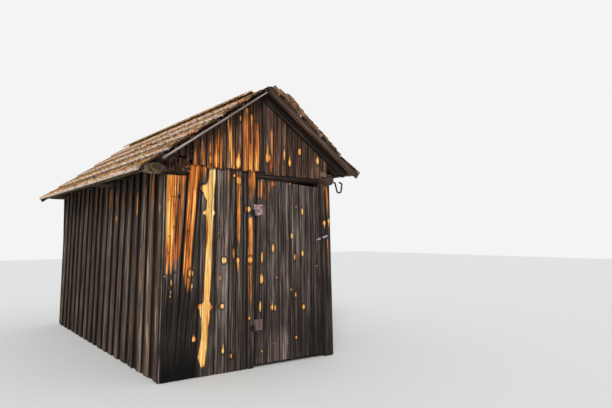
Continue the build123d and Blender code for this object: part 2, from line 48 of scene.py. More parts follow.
def linear(colour):
    """sRGB hex to linear: c / 12.92 up to 0.04045, above it ((c + 0.055) / 1.055) to the 2.4."""
    channels = [int(colour[i:i + 2], 16) / 255 for i in (1, 3, 5)]
    return tuple(c / 12.92 if c <= 0.04045 else ((c + 0.055) / 1.055) ** 2.4 for c in channels) + (1.0,)


def add(tree, kind, inputs=None, out=0, stops=None, **settings):
    """Adds a shader node with its settings and colour stops, sets or links its inputs, where a hex
    colour is turned to linear, and returns an output."""
    node = tree.nodes.new("ShaderNode" + kind)
    for key, value in settings.items():
        setattr(node, key, value)
    if stops:
        ramp = node.color_ramp.elements
        ramp.remove(ramp[1])
        ramp[0].position, ramp[0].color = stops[0][0], linear(stops[0][1])
        for position, colour in stops[1:]:
            ramp.new(position).color = linear(colour)
    for key, value in (inputs or {}).items():
        if isinstance(value, bpy.types.NodeSocket):
            tree.links.new(value, node.inputs[key])
        else:
            node.inputs[key].default_value = linear(value) if isinstance(value, str) else value
    return node.outputs[out] if node.outputs else None


def finish_material(name, build):
    """A material whose colour, roughness, relief and relief depth come from build(tree)."""
    material = bpy.data.materials.new(name)
    material.use_nodes = True
    tree = material.node_tree
    tree.nodes.clear()
    colour, roughness, relief, depth, settings = build(tree)
    normal = add(tree, "Bump", {"Height": relief, "Distance": depth})
    shader = {"Base Color": colour, "Roughness": roughness, "Normal": normal, **settings}
    surface = add(tree, "BsdfPrincipled", shader)
    add(tree, "OutputMaterial", {"Surface": surface})
    return material


def sawn_timber(name, dark, middle, light, end, along):
    """Sawn softwood: the eye sees saw-rough fibres, drawn-out streaks and darker pores. The grain is
    noise drawn out along the timber: streaks 14 mm wide and 0.5 m long, fibres 3 mm wide, and
    patches 0.2 m across. Faces that cut across the grain show its rings."""

    def build(tree):
        place = add(tree, "TexCoord", out="Object")
        facing = add(tree, "TexCoord", out="Normal")
        if along == "slope":
            place = add(tree, "VectorMath", {0: place, 1: (ridge_x, 0, 0)}, operation="SUBTRACT")
            place = add(tree, "VectorMath", {0: place}, operation="ABSOLUTE")
            facing = add(tree, "VectorMath", {0: facing}, operation="ABSOLUTE")
        place = add(tree, "Mapping", {"Vector": place, "Rotation": grain_turns[along]})
        facing = add(tree, "Mapping", {"Vector": facing, "Rotation": grain_turns[along]})
        grain = 0.0
        layers = [((70, 70, 2), 5.0, 0.6), ((330, 330, 9), 3.0, 0.25), ((5, 5, 5), 4.0, 0.15)]
        for drawn, detail, share in layers:
            noise = add(tree, "VectorMath", {0: place, 1: drawn}, operation="MULTIPLY")
            noise = add(tree, "TexNoise", {"Vector": noise, "Scale": 1.0, "Detail": detail})
            grain = add(tree, "Math", {0: noise, 1: share, 2: grain}, operation="MULTIPLY_ADD")
        colour = add(tree, "ValToRGB", {0: grain}, stops=[(0.36, dark), (0.5, middle), (0.64, light)])
        rings = add(tree, "TexNoise", {"Vector": place, "Scale": 60.0, "Detail": 4.0})
        end_colour = add(tree, "ValToRGB", {0: rings}, stops=[(0.32, dark), (0.66, end)])
        end_on = add(tree, "SeparateXYZ", {0: facing}, out=2)
        end_on = add(tree, "Math", {0: end_on}, operation="ABSOLUTE")
        end_on = add(tree, "MapRange", {0: end_on, 1: 0.62, 2: 0.8})
        cut = add(tree, "Attribute", attribute_name="cut", out=2)
        end_on = add(tree, "Math", {0: end_on, 1: cut}, operation="MAXIMUM")
        colour = add(tree, "Mix", {0: end_on, 6: colour, 7: end_colour}, out=2, data_type="RGBA")
        return colour, 0.85, grain, 0.003, {"Specular IOR Level": 0.25}

    return finish_material(name, build)


def carry(names, material, ease=0.003):
    """Gives CAD nodes their material, and rounds their sharp edges by a small radius."""
    for name in names:
        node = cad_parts[name]
        for held in node.material_slots:
            held.material = material
        if ease:
            weld = node.modifiers.new("join corners", "WELD")
            weld.merge_threshold = 0.00005
            bevel = node.modifiers.new("worn edges", "BEVEL")
            bevel.width, bevel.segments, bevel.angle_limit = ease, 2, math.radians(40)


aged = ("#3a2a1e", "#5b4634", "#7d6650", "#8a7258")
upright = sawn_timber("sawn spruce, upright", *aged, "z")
lengthwise = sawn_timber("sawn spruce, lengthwise", *aged, "y")
crosswise = sawn_timber("sawn spruce, crosswise", *aged, "x")
carry([
    "corner_post_front_left", "corner_post_front_right", "corner_post_back_left",
    "corner_post_back_right", "door_post", "middle_posts",
], upright)
carry([
    "sill_left", "sill_right", "wall_plate_left", "wall_plate_right", "wall_rails",
    "pole_plate_left", "pole_plate_right",
], lengthwise)
carry(["sill_front", "sill_back"], crosswise)


# Front wall boards left of the doorway: spruce planks nailed upright, weathered dark grey-brown.
# Some have shed their grey skin and show orange and yellow heartwood. One board leans.
front_y = -2.3
gable_line = 2.165
low_top = 2.054
behind_gable = 2.197
upper_end = 2.19
board_foot = 0.006


def half_width(z):
    """Half the hut's width: 1.045 m from the gable line up, and evenly more down to the ground,
    where it is 50 mm more."""
    return 1.045 + 0.05 * np.maximum(0, 1 - z / gable_line)


def soft_step(value):
    """0 below 0, 1 above 1, and 3 v^2 - 2 v^3 between."""
    v = np.clip(value, 0, 1)
    return v * v * (3 - 2 * v)


def bell(value):
    """1 at 0, and less and less on both sides: e to the power of -v^2."""
    return np.exp(-(value ** 2))


def knot_marks(u, z, table):
    """Each row is a knot: u, z, half width, half height, tail, strength. A knot fades with the cube of
    the distance from its middle, and its tail is a wedge that narrows to nothing, up or down.
    Gives the knots, and the dark rings at 1.45 times the size of the stronger ones."""
    ku, kz, kw, kh, tail, strength = np.asarray(table, float).T
    du, dz = (u[..., None] - ku) / kw, (z[..., None] - kz) / kh
    away = np.sqrt(du * du + dz * dz)
    t = np.where(tail != 0, (z[..., None] - kz) / np.where(tail == 0, 1, tail), -1)
    wedge = np.where((t > 0) & (t < 1), (1 - t) * bell(du / (0.75 - 0.5 * t)), 0)
    heart = (np.maximum(np.exp(-0.9 * away ** 3), 0.85 * wedge) * strength).max(-1)
    return heart, (bell(3 * (away - 1.45)) * (strength > 0.55) * (1 - wedge)).max(-1)


def streak_marks(u, z, streaks, soft=0.008, fade=0.05):
    """Each streak is three rows: heights, left edges, right edges. The mark is 1 inside them, and it
    fades over the soft width at its edges, the fade length at its lower end, 50 mm at its upper."""
    mark = np.zeros(u.shape)
    for heights, left, right in streaks:
        inside = np.minimum(u - np.interp(z, heights, left), np.interp(z, heights, right) - u)
        ends = np.minimum((z - heights[0]) / fade, (heights[-1] - z) / 0.05)
        mark = np.maximum(mark, soft_step(0.5 + inside / soft) * np.clip(ends, 0, 1))
    return mark


def closed_bars(name, points, material, grain, values, sharp=0, body="hut"):
    """Makes one mesh object of closed bars. The points are bars, rings along each bar, and places
    round each ring: quads join each ring to the next, and one face closes each end. The grain map
    is true in metres, and the values are named numbers on the vertices. Above the sharp angle, in
    degrees, an edge stays sharp. Without one every face is flat. The piece rides on the body."""
    index = np.arange(points[..., 0].size).reshape(points.shape[:-1])
    beside = np.roll(index, -1, 2)
    sides = np.stack([index[:, :-1], beside[:, :-1], beside[:, 1:], index[:, 1:]], -1)
    faces = sides.reshape(-1, 4).tolist() + index[:, 0, ::-1].tolist() + index[:, -1].tolist()
    mesh = bpy.data.meshes.new(name)
    mesh.from_pydata(points.reshape(-1, 3).tolist(), [], faces)
    corner = np.empty(len(mesh.loops), np.int32)
    mesh.loops.foreach_get("vertex_index", corner)
    if grain is not None:
        layer = mesh.uv_layers.new(name="grain")
        layer.data.foreach_set("uv", grain.reshape(-1, 2)[corner].astype(np.float32).ravel())
    for key, value in values.items():
        held = mesh.attributes.new(key, "FLOAT", "POINT")
        held.data.foreach_set("value", np.broadcast_to(value, index.shape).astype(np.float32).ravel())
    mesh.polygons.foreach_set("use_smooth", np.full(len(mesh.polygons), sharp > 0))
    mesh.materials.append(material)
    mesh.update()
    if sharp:
        mesh.set_sharp_from_angle(angle=math.radians(sharp))
    piece = bpy.data.objects.new(name, mesh)
    bpy.context.scene.collection.objects.link(piece)
    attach(piece, body)
    return piece


def boards(
    name, foot, head, low, high, place, material, seed, marks=None, across=14, step=0.014,
    thickness=0.029, setback=0.006, ragged=0.004, body="hut",
):
    """Upright boards, joined in one mesh. A board is a closed section, slightly cupped and eased over
    4 mm at its front edges, carried up its length. foot and head are its left and right edges at
    the ground and at the gable line, low and high its end levels at those edges:
    u = left + s * width, z = low + t * (high - low), and place(u, z, depth) puts it on the wall."""
    foot, head, low, high = (np.asarray(a, float) for a in (foot, head, low, high))
    low, high = (np.broadcast_to(a if a.ndim == 2 else a[..., None], foot.shape) for a in (low, high))
    rng = np.random.default_rng(seed)
    count = len(foot)
    rows = int((high - low).max() / step) + 2
    ease = 0.004 / (foot[:, 1] - foot[:, 0])[:, None]
    inner = ease + np.linspace(0, 1, across - 2) * (1 - 2 * ease)
    one = np.ones((count, 1))
    s = np.concatenate([0 * one, inner, one, one, 0 * one], 1)[:, None, :]
    cup = rng.uniform(-0.002, 0.0015, (count, 1)) * (2 * inner - 1) ** 2 + 0.0025
    cup = cup + rng.uniform(-0.0014, 0.0014, inner.shape)
    edge = 0.006 * one
    depth = np.concatenate([edge, cup, edge, thickness * one, thickness * one], 1)[:, None, :]
    t = np.linspace(0, 1, rows)[None, :, None]
    start, end = (a[:, :1, None] + s * (a[:, 1:, None] - a[:, :1, None]) for a in (low, high))
    z = start + t * (end - start)
    lean = z / gable_line
    left, right = (foot[:, i, None, None] + (head - foot)[:, i, None, None] * lean for i in (0, 1))
    phase = rng.uniform(0, 6, (count, 1, 1))
    wander = 0.0012 * np.sin(z * 5 + phase) + 0.0008 * np.sin(z * 13 + 2 * phase)
    u = left + s * (right - left) + wander * np.minimum(1, 4 * s * (1 - s) + 0.6)
    bow = rng.uniform(0, setback, (count, 1, 1)) + 0.0015 * np.sin(z * 2.2 + phase)
    z = z + np.where((t == 0) | (t == 1), rng.uniform(-ragged, ragged, (count, 1, s.shape[2])), 0)
    points = place(u, z, depth + bow)
    grain = np.stack([
        s * (right - left) + rng.uniform(0, 40, (count, 1, 1)),
        z + rng.uniform(0, 40, (count, 1, 1)),
    ], -1)
    values = {
        "heart": 0.0, "warm": 0.0, "stain": 0.0, "pale": 0.0, "shade": 1.0,
        "tone": rng.uniform(-1, 1, (count, 1, 1)),
        "edge": bell(np.minimum(s, 1 - s) / np.minimum(0.008 / (right - left), 0.2)),
        **(marks(u, z) if marks else {}),
    }
    return closed_bars(name, points, material, grain, values, body=body)


def weathered_boards(name, dark, middle, light):
    """Softwood planks after decades outdoors: a grey fibrous skin with drying cracks, and where it
    has worn off, orange to pale yellow heartwood. Streaks 20 mm wide and 1 m long, fibres 8 mm wide
    and cracks 2 mm wide are drawn out along the board. The fibres are coarser than real ones, so
    that they show. Values on the mesh say where the skin is off."""

    def build(tree):
        grain_map = add(tree, "UVMap", uv_map="grain")
        held = {
            key: add(tree, "Attribute", attribute_name=key, out=2)
            for key in ("tone", "edge", "heart", "warm", "stain", "shade", "pale")
        }
        grain, noises = 0.0, []
        for stretch, share, look in (
            ((50, 1.1, 0), 0.55, {"Detail": 5.0, "Roughness": 0.6, "Distortion": 0.4}),
            ((125, 3.2, 0), 0.3, {"Detail": 4.0}),
            ((9, 2.2, 0), 0.15, {"Detail": 4.0}),
        ):
            drawn = add(tree, "VectorMath", {0: grain_map, 1: stretch}, operation="MULTIPLY")
            noises.append(add(tree, "TexNoise", {"Vector": drawn, "Scale": 1.0, **look}))
            grain = add(tree, "Math", {0: noises[-1], 1: share, 2: grain}, operation="MULTIPLY_ADD")
        vivid = add(tree, "Math", {0: grain, 1: 2.0, 2: -0.5}, operation="MULTIPLY_ADD")
        skin = add(tree, "ValToRGB", {0: grain}, stops=[(0.39, dark), (0.5, middle), (0.61, light)])
        tone = add(tree, "Math", {0: held["tone"], 1: 0.28, 2: 1.0}, operation="MULTIPLY_ADD")
        tone = add(tree, "Math", {0: tone, 1: held["shade"]}, operation="MULTIPLY")
        colour = add(tree, "VectorMath", {0: skin, "Scale": tone}, operation="SCALE")
        amber = add(tree, "ValToRGB", {0: vivid}, stops=[
            (0.26, "#35180b"), (0.4, "#92471b"), (0.54, "#da7c33"), (0.72, "#fdb564"),
        ])
        inward = add(tree, "Math", {0: grain, 1: 2.1, 2: -0.55}, operation="MULTIPLY_ADD")
        inward = add(tree, "Math", {0: held["heart"], 1: 0.16, 2: inward}, operation="MULTIPLY_ADD")
        bare = add(tree, "ValToRGB", {0: inward}, stops=[
            (0.5, "#b0561e"), (0.58, "#e88c38"), (0.66, "#fcb54c"), (0.78, "#ffd681"),
        ])
        pale = add(tree, "ValToRGB", {0: inward}, stops=[
            (0.5, "#a8642a"), (0.57, "#e0a44c"), (0.67, "#fad076"), (0.8, "#fff0bf"),
        ])
        bare = add(tree, "Mix", {0: held["pale"], 6: bare, 7: pale}, out=2, data_type="RGBA")
        loose = add(tree, "Math", {0: noises[0], 1: 0.5}, operation="SUBTRACT")
        for key, wood, rough, start, full in (
            ("warm", amber, 3.0, 0.25, 0.75), ("heart", bare, 2.0, 0.32, 0.55),
        ):
            near = add(tree, "MapRange", {0: held[key], 1: 0.0, 2: 0.3, 3: 0.0, 4: rough})
            bared = add(tree, "Math", {0: loose, 1: near, 2: held[key]}, operation="MULTIPLY_ADD")
            bared = add(tree, "MapRange", {0: bared, 1: start, 2: full})
            colour = add(tree, "Mix", {0: bared, 6: colour, 7: wood}, out=2, data_type="RGBA")
        slit = add(tree, "VectorMath", {0: grain_map, 1: (80, 0.9, 0)}, operation="MULTIPLY")
        slit = add(tree, "TexNoise", {"Vector": slit, "Scale": 1.0, "Detail": 3.0, "Distortion": 0.6})
        slit = add(tree, "Math", {0: slit, 1: 0.42}, operation="SUBTRACT")
        slit = add(tree, "Math", {0: slit}, operation="ABSOLUTE")
        crack = add(tree, "MapRange", {0: slit, 1: 0.008, 2: 0.03, 3: 0.9, 4: 0.0})
        dirt = add(tree, "Math", {0: held["edge"], 1: 0.95}, operation="MULTIPLY")
        # Where the heartwood is bared, the last of the two woods above, cracks are shallow.
        shallow = add(tree, "Math", {0: bared, 1: -0.75, 2: 1.0}, operation="MULTIPLY_ADD")
        shallow = add(tree, "Math", {0: crack, 1: shallow}, operation="MULTIPLY")
        dirt = add(tree, "Math", {0: dirt, 1: shallow}, operation="MAXIMUM")
        dirt = add(tree, "Math", {0: dirt, 1: held["stain"]}, operation="MAXIMUM")
        colour = add(tree, "Mix", {0: dirt, 6: colour, 7: "#1b1512"}, out=2, data_type="RGBA")
        relief = add(tree, "Math", {0: crack, 1: -0.6, 2: grain}, operation="MULTIPLY_ADD")
        return colour, 0.88, relief, 0.01, {"Specular IOR Level": 0.2}

    return finish_material(name, build)


def together(*parts):
    """Spreads arrays to one shape and joins them along a new last axis."""
    return np.stack(np.broadcast_arrays(*parts), -1)


def on_end_wall(face, turn=1):
    """Gives place(u, z, depth) for a wall across the hut, whose face is at y = turn * face. Seen from
    outside, u runs to the right and depth into the hut. turn is 1 at the front, -1 at the back."""
    return lambda u, z, depth: together(turn * u, turn * (face + depth), z)


on_front = on_end_wall(front_y)
front_knots = [
    (-0.755, 1.06, 0.026, 0.034, 0.0, 1.0),
    (-0.38, 1.18, 0.027, 0.03, 0.0, 1.0),
    (-0.40, 0.70, 0.023, 0.025, 0.0, 1.0),
    (-0.385, 0.235, 0.02, 0.026, 0.12, 0.8),
    (-0.425, 1.0, 0.007, 0.03, 0.0, 0.7),
    (-0.455, 1.47, 0.018, 0.008, 0.0, 0.7),
    (-0.215, 1.175, 0.02, 0.026, -0.26, 1.0),
    (-0.265, 1.25, 0.011, 0.07, -0.2, 0.8),
    (-0.205, 2.04, 0.026, 0.04, 0.0, 0.9),
    (-0.26, 2.09, 0.02, 0.014, 0.0, 0.7),
    (-0.09, 1.73, 0.027, 0.032, 0.0, 1.0),
    (-0.06, 1.175, 0.026, 0.034, 0.0, 1.0),
    (-0.07, 0.545, 0.012, 0.02, 0.08, 0.8),
    (-0.715, 0.39, 0.02, 0.027, 0.09, 0.95),
    (-0.30, 0.17, 0.018, 0.028, 0.0, 0.7),
    (-0.155, 0.62, 0.016, 0.012, 0.0, 0.5),
    (-0.62, 1.935, 0.03, 0.034, 0.0, 1.0),
    (-0.655, 0.715, 0.034, 0.03, 0.0, 1.0),
    (-1.03, 1.04, 0.014, 0.014, 0.0, 0.6),
    (-0.958, 0.975, 0.009, 0.04, 0.0, 0.75),
    (-0.99, 0.93, 0.009, 0.05, 0.0, 0.7),
    (-0.965, 0.88, 0.007, 0.02, 0.0, 0.7),
    (-0.97, 0.84, 0.012, 0.013, 0.0, 0.65),
    (-0.955, 0.79, 0.007, 0.03, 0.0, 0.65),
    (-0.75, 0.93, 0.014, 0.03, -0.1, 0.7),
    (-0.6, 2.13, 0.012, 0.03, 0.0, 0.5),
]
bare_strip = (
    [0.08, 0.2, 0.3, 0.4, 0.5, 0.6, 0.66, 0.7, 0.76, 0.9, 1.05, 1.2, 1.4, 1.6, 1.655, 1.67, 1.69, 1.71, 1.8,
     1.87, 1.91, 1.97, 1.99, 2.05, 2.2],
    [-0.63, -0.672, -0.652, -0.635, -0.635, -0.64, -0.655, -0.66, -0.61, -0.605, -0.603, -0.594, -0.583,
     -0.586, -0.59, -0.622, -0.62, -0.588, -0.578, -0.612, -0.625, -0.615, -0.575, -0.563, -0.552],
    [-0.6, -0.585, -0.575, -0.57, -0.562, -0.54, -0.54, -0.505, -0.55, -0.54, -0.533, -0.53, -0.521,
     -0.512, -0.508, -0.482, -0.484, -0.506, -0.504, -0.506, -0.5, -0.494, -0.49, -0.485, -0.48],
)
bare_streaks = [
    ([1.28, 1.5, 1.62, 1.7, 1.8, 1.9, 2.02, 2.14],
     [-0.206, -0.212, -0.205, -0.213, -0.207, -0.224, -0.218, -0.212],
     [-0.2, -0.194, -0.196, -0.19, -0.196, -0.19, -0.196, -0.196]),
    ([1.9, 2.0, 2.19], [-0.078, -0.08, -0.08], [-0.056, -0.054, -0.052]),
    ([1.93, 2.0, 2.19], [-0.03, -0.034, -0.034], [-0.014, -0.012, -0.01]),
    ([1.3, 1.45, 1.66], [-0.06, -0.066, -0.07], [-0.044, -0.048, -0.052]),
    ([0.78, 0.95, 1.12], [-0.06, -0.064, -0.064], [-0.054, -0.052, -0.05]),
]
warm_streaks = [
    ([1.0, 1.2, 1.6, 2.1], [-1.03, -1.02, -1.018, -1.016], [-0.97, -0.932, -0.92, -0.905]),
    ([1.06, 1.4, 1.9, 2.1], [-0.93, -0.918, -0.908, -0.9], [-0.9, -0.865, -0.835, -0.795]),
    ([0.82, 1.1, 1.4, 1.8, 2.25], [-0.81, -0.84, -0.838, -0.803, -0.77],
     [-0.75, -0.75, -0.736, -0.69, -0.645]),
    ([1.95, 2.05, 2.2], [-0.655, -0.655, -0.65], [-0.6, -0.595, -0.59]),
    ([1.2, 1.6, 2.0, 2.15], [-0.218, -0.22, -0.232, -0.23], [-0.188, -0.186, -0.18, -0.176]),
    ([0.62, 0.9, 1.3, 1.65], [-0.076, -0.08, -0.084, -0.084], [-0.044, -0.042, -0.036, -0.034]),
    ([1.78, 1.95, 2.2], [-0.1, -0.09, -0.09], [-0.02, 0.0, 0.0]),
    ([1.88, 2.0, 2.16], [-0.335, -0.335, -0.335], [-0.312, -0.31, -0.31]),
]
front_dark = [
    (-0.885, 1.84, 0.024, 0.028, 0.0, 1.0),
    (-0.95, 1.835, 0.05, 0.01, 0.0, 0.5),
    (-1.0, 1.8, 0.016, 0.008, 0.0, 0.6),
    (-0.985, 1.435, 0.012, 0.008, 0.0, 0.9),
    (-0.925, 1.4, 0.012, 0.008, 0.0, 0.9),
    (-0.94, 1.53, 0.008, 0.02, 0.0, 0.9),
    (-0.99, 1.27, 0.01, 0.01, 0.0, 0.8),
    (-0.79, 1.49, 0.03, 0.011, 0.0, 0.6),
    (-0.73, 1.93, 0.04, 0.012, 0.0, 0.35),
    (-0.76, 1.68, 0.012, 0.03, 0.0, 0.4),
    (-0.6, 1.975, 0.02, 0.006, 0.0, 0.6),
    (-0.555, 1.74, 0.03, 0.006, 0.0, 0.35),
    (-0.47, 1.8, 0.012, 0.09, 0.0, 0.5),
    (-0.985, 1.05, 0.03, 0.012, 0.0, 0.8),
    (-0.93, 1.075, 0.025, 0.016, 0.0, 0.8),
]
front_cracks = [
    ([1.32, 1.45, 1.67], [-0.926, -0.928, -0.924], [-0.912, -0.913, -0.912]),
    ([1.5, 1.8, 2.04], [-0.912, -0.91, -0.908], [-0.906, -0.904, -0.903]),
    ([1.1, 1.3, 1.5], [-0.9, -0.9, -0.898], [-0.894, -0.894, -0.893]),
]


def front_marks(u, z):
    """Where the grey skin is off the front boards, and how dark they are: near black low on the
    left, where rain splashes, lighter on the wide board and on the corner board, with a bright line
    down the corner board."""
    knots, rings = knot_marks(u, z, front_knots)
    strip = streak_marks(u, z, [bare_strip], 0.016)
    gaps = 0.5 + 0.5 * np.sin(23 * z + 2 * np.sin(9 * z))
    streaks = streak_marks(u, z, bare_streaks, 0.014, 0.2) * (0.28 + 0.42 * gaps)
    heart = np.maximum(knots, np.maximum(strip, streaks))
    warm = 1.15 * streak_marks(u, z, warm_streaks, 0.014, 0.3)
    warm = warm * np.where(u > -0.3, 0.5 + 0.3 * gaps, 1)
    red_part = soft_step((z - 1.3) / 0.2) * (u < -0.8) * (u > -0.925)
    yellower = np.where(u < -0.86, 0.4, 0.3) * (u < -0.68) * (1 - red_part)
    heart = np.maximum(heart, yellower * warm * soft_step((z - 1.15) / 0.4))
    warm = warm * (1 - 0.35 * red_part)
    splash = soft_step((1.25 - z) / 0.5) * soft_step((-0.6 - u) / 0.12)
    wide_board = (u > -0.475) * (u < -0.302)
    foot = soft_step((0.5 - z) / 0.5)
    dark = np.maximum(knot_marks(u, z, front_dark)[0], streak_marks(u, z, front_cracks, 0.01))
    dark = np.maximum(dark, 0.2 * red_part * (z < 1.97))
    worn_grey = bell((u + 0.632) / 0.016) * bell((z - 1.82) / 0.06)
    corner = -u - half_width(z)
    # A bright line down the corner board, 14 mm in from the hut's corner, and the whole board lighter.
    corner_bright_line = bell((corner + 0.014) / 0.007) * soft_step((1.95 - z) / 0.2)
    shade = 0.85 - 0.62 * splash + 0.45 * wide_board * soft_step((z - 0.3) / 1.0) - 0.25 * foot
    shade = shade + worn_grey + 0.3 * (corner > -0.02) + 4.5 * corner_bright_line - 0.22 * (u > -0.3)
    pale = strip * (0.4 + 0.6 * soft_step((z - 1.2) / 0.5))
    pale = np.maximum(pale, 0.7 * knots * wide_board)
    return {
        "heart": heart, "warm": warm, "stain": np.maximum(0.85 * rings * (heart < 0.45), dark),
        "shade": shade, "pale": pale,
    }


board_wood = weathered_boards("weathered spruce boards, dark", "#1f1814", "#4f433b", "#8f8178")
front_foot = [
    (-1.095, -1.076), (-1.073, -0.932), (-0.928, -0.842), (-0.838, -0.702), (-0.698, -0.497),
    (-0.493, -0.334), (-0.33, -0.242), (-0.238, -0.152), (-0.148, -0.098), (-0.094, -0.016),
]
front_head = [
    (-1.045, -1.024), (-1.02, -0.796), (-0.774, -0.65), (-0.646, -0.638), (-0.634, -0.476),
    (-0.472, -0.302), (-0.298, -0.24), (-0.236, -0.152), (-0.148, -0.103), (-0.099, 0.013),
]
front_high = [
    (low_top, low_top), (low_top - 0.004, low_top - 0.002), (2.17, 2.186), (upper_end, upper_end),
    (behind_gable, upper_end), *[(upper_end, upper_end)] * 5,
]
front_left = boards(
    "front_boards_left", front_foot, front_head, board_foot, front_high, on_front, board_wood, 11,
    front_marks, across=36, step=0.011,
)
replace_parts(front_left, "front_wall_left")


# Jamb boards right of the doorway: two narrow spruce planks nailed upright, up to the log's end.
# They are black-brown, with orange wood laid bare round two knots near the top.
jamb_knots = [(0.965, 1.59, 0.022, 0.028, -0.12, 1.0), (1.035, 1.615, 0.016, 0.028, -0.1, 0.95)]
jamb_streaks = [
    ([1.6, 1.8, 1.95, 2.06], [0.995, 0.985, 0.965, 0.95], [1.015, 1.02, 1.02, 1.0]),
    ([0.8, 1.1, 1.42], [1.0, 1.002, 1.0], [1.022, 1.02, 1.02]),
]


def jamb_marks(u, z):
    """Skin off round two knots and along one streak, the rest nearly black-brown."""
    knots, rings = knot_marks(u, z, jamb_knots)
    warm = streak_marks(u, z, jamb_streaks, 0.02, 0.3)
    heart = np.maximum(knots, 0.42 * warm * soft_step((z - 1.85) / 0.1))
    shade = 0.42 + 0.2 * soft_step((z - 1.5) / 0.6) - 0.1 * (u > 1.04)
    return {"heart": heart, "warm": warm, "stain": 0.7 * rings * (heart < 0.5), "shade": shade}


front_right = boards(
    "front_boards_right", [(0.963, 1.03), (1.034, 1.095)], [(0.903, 0.982), (0.986, 1.045)],
    board_foot, low_top, on_front, board_wood, 12, jamb_marks,
)
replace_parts(front_right, "front_wall_right")


# Gable boards over the front: shorter planks nailed in front of the wall boards, with uneven lower
# ends and a grey cover strip near the middle. At the left corner they are gone.
gable_y = -2.325
stub_setback = 0.012
strip_front = 0.013
gable_cut = 3.05
batten_underside = 0.06
roof_top = 3.12484


def roof_z(x, depth):
    """Height over x of the plane that lies at a depth under the tile tips, square to the slope. The
    tips' planes meet at the roof top, over the ridge."""
    return roof_top - depth / math.cos(pitch) - np.abs(x - ridge_x) * math.tan(pitch)


def gable_top(pairs):
    """Where gable boards end: 3 mm under the battens' lower plane, or level under the ridge."""
    return np.minimum(roof_z(pairs, batten_underside), gable_cut) - 0.003


def side_by_side(edges, joint=0.001):
    """Left and right edges of the boards between the given edges, each drawn in by the joint."""
    return np.stack([edges[:-1] + joint, edges[1:] - joint], -1)


gable_edges = np.array([
    -0.755, -0.672, -0.598, -0.52, -0.452, -0.372, -0.29, -0.262, -0.178, -0.1, -0.035, 0.045, 0.112,
    0.222, 0.33, 0.408, 0.525, 0.612, 0.705, 0.8, 0.9, 0.998,
])
gable_ends = np.array([
    2.176, 2.178, 2.152, 2.153, 2.15, 2.166, 2.158, 2.158, 2.149, 2.15, 2.152, 2.157, 2.128, 2.127,
    2.124, 2.126, 2.12, 2.122, 2.118, 2.122, 2.225,
])
gable_pairs = side_by_side(gable_edges)
gable_knots = [
    (-0.12, 2.82, 0.018, 0.03, -0.5, 0.62),
    (-0.2, 2.72, 0.012, 0.03, 0.0, 0.8),
    (-0.06, 2.75, 0.02, 0.034, -0.45, 0.85),
    (0.15, 2.315, 0.036, 0.05, 0.26, 1.0),
    (-0.225, 2.235, 0.028, 0.055, 0.24, 1.0),
    (-0.55, 2.24, 0.016, 0.045, 0.14, 0.85),
    (-0.487, 2.25, 0.024, 0.075, 0.24, 1.0),
    (0.372, 2.36, 0.013, 0.07, 0.14, 0.7),
    (0.447, 2.28, 0.018, 0.042, 0.14, 1.0),
    (0.59, 2.42, 0.02, 0.038, 0.0, 0.9),
    (0.852, 2.335, 0.02, 0.042, 0.09, 0.85),
    (0.19, 2.215, 0.01, 0.04, 0.0, 0.5),
]
gable_bare = [
    ([2.16, 2.3, 2.5, 2.72], [-0.296, -0.318, -0.342, -0.36], [-0.266, -0.292, -0.316, -0.342]),
    ([2.16, 2.4, 2.66], [-0.006, -0.012, -0.012], [0.024, 0.018, 0.012]),
    ([2.16, 2.3, 2.5], [-0.09, -0.085, -0.08], [-0.056, -0.056, -0.058]),
    ([2.16, 2.3, 2.45], [-0.5, -0.492, -0.486], [-0.474, -0.472, -0.474]),
]
gable_warm = [
    ([2.15, 2.3, 2.48], [-0.735, -0.73, -0.71], [-0.7, -0.705, -0.7]),
    ([2.15, 2.3, 2.46], [-0.66, -0.66, -0.65], [-0.625, -0.63, -0.64]),
    ([2.15, 2.35, 2.55], [-0.575, -0.565, -0.54], [-0.53, -0.53, -0.525]),
    ([2.15, 2.35, 2.62], [-0.51, -0.5, -0.48], [-0.42, -0.43, -0.44]),
    ([2.15, 2.4, 2.75], [-0.3, -0.33, -0.36], [-0.24, -0.29, -0.33]),
    ([2.15, 2.5, 2.86], [-0.15, -0.15, -0.15], [-0.095, -0.1, -0.1]),
    ([2.15, 2.5, 2.82], [-0.088, -0.085, -0.08], [-0.04, -0.045, -0.05]),
    ([2.15, 2.4, 2.72], [-0.02, -0.02, -0.015], [0.03, 0.03, 0.02]),
    ([2.2, 2.45, 2.65], [0.205, 0.2, 0.19], [0.235, 0.225, 0.21]),
    ([2.15, 2.25, 2.35], [0.175, 0.17, 0.165], [0.21, 0.2, 0.19]),
]


def gable_marks(u, z):
    """Warm brown left of the cover strip, with many streaks, and greyer on the right. Near the roof
    the boards are darker and less warm: a painted shadow of the verge.
    """
    knots, rings = knot_marks(u, z, gable_knots)
    heart = np.maximum(knots, 0.85 * streak_marks(u, z, gable_bare, 0.016, 0.01))
    left_side = soft_step((0.05 - u) / 0.1)
    # Painted shadow of the verge: darker and less warm within 0.4 m under the roof.
    painted_verge_shadow = soft_step(1 - (roof_z(u, batten_underside) - z) / 0.4)
    warm = np.maximum(0.95 * streak_marks(u, z, gable_warm, 0.026, 0.01), 0.07 + 0.13 * left_side)
    shade = 1.0 - 0.4 * painted_verge_shadow - 0.05 * (1 - left_side)
    return {
        "heart": heart, "warm": warm * (1 - 0.5 * painted_verge_shadow), "stain": 0.7 * rings * (heart < 0.4),
        "shade": shade,
    }


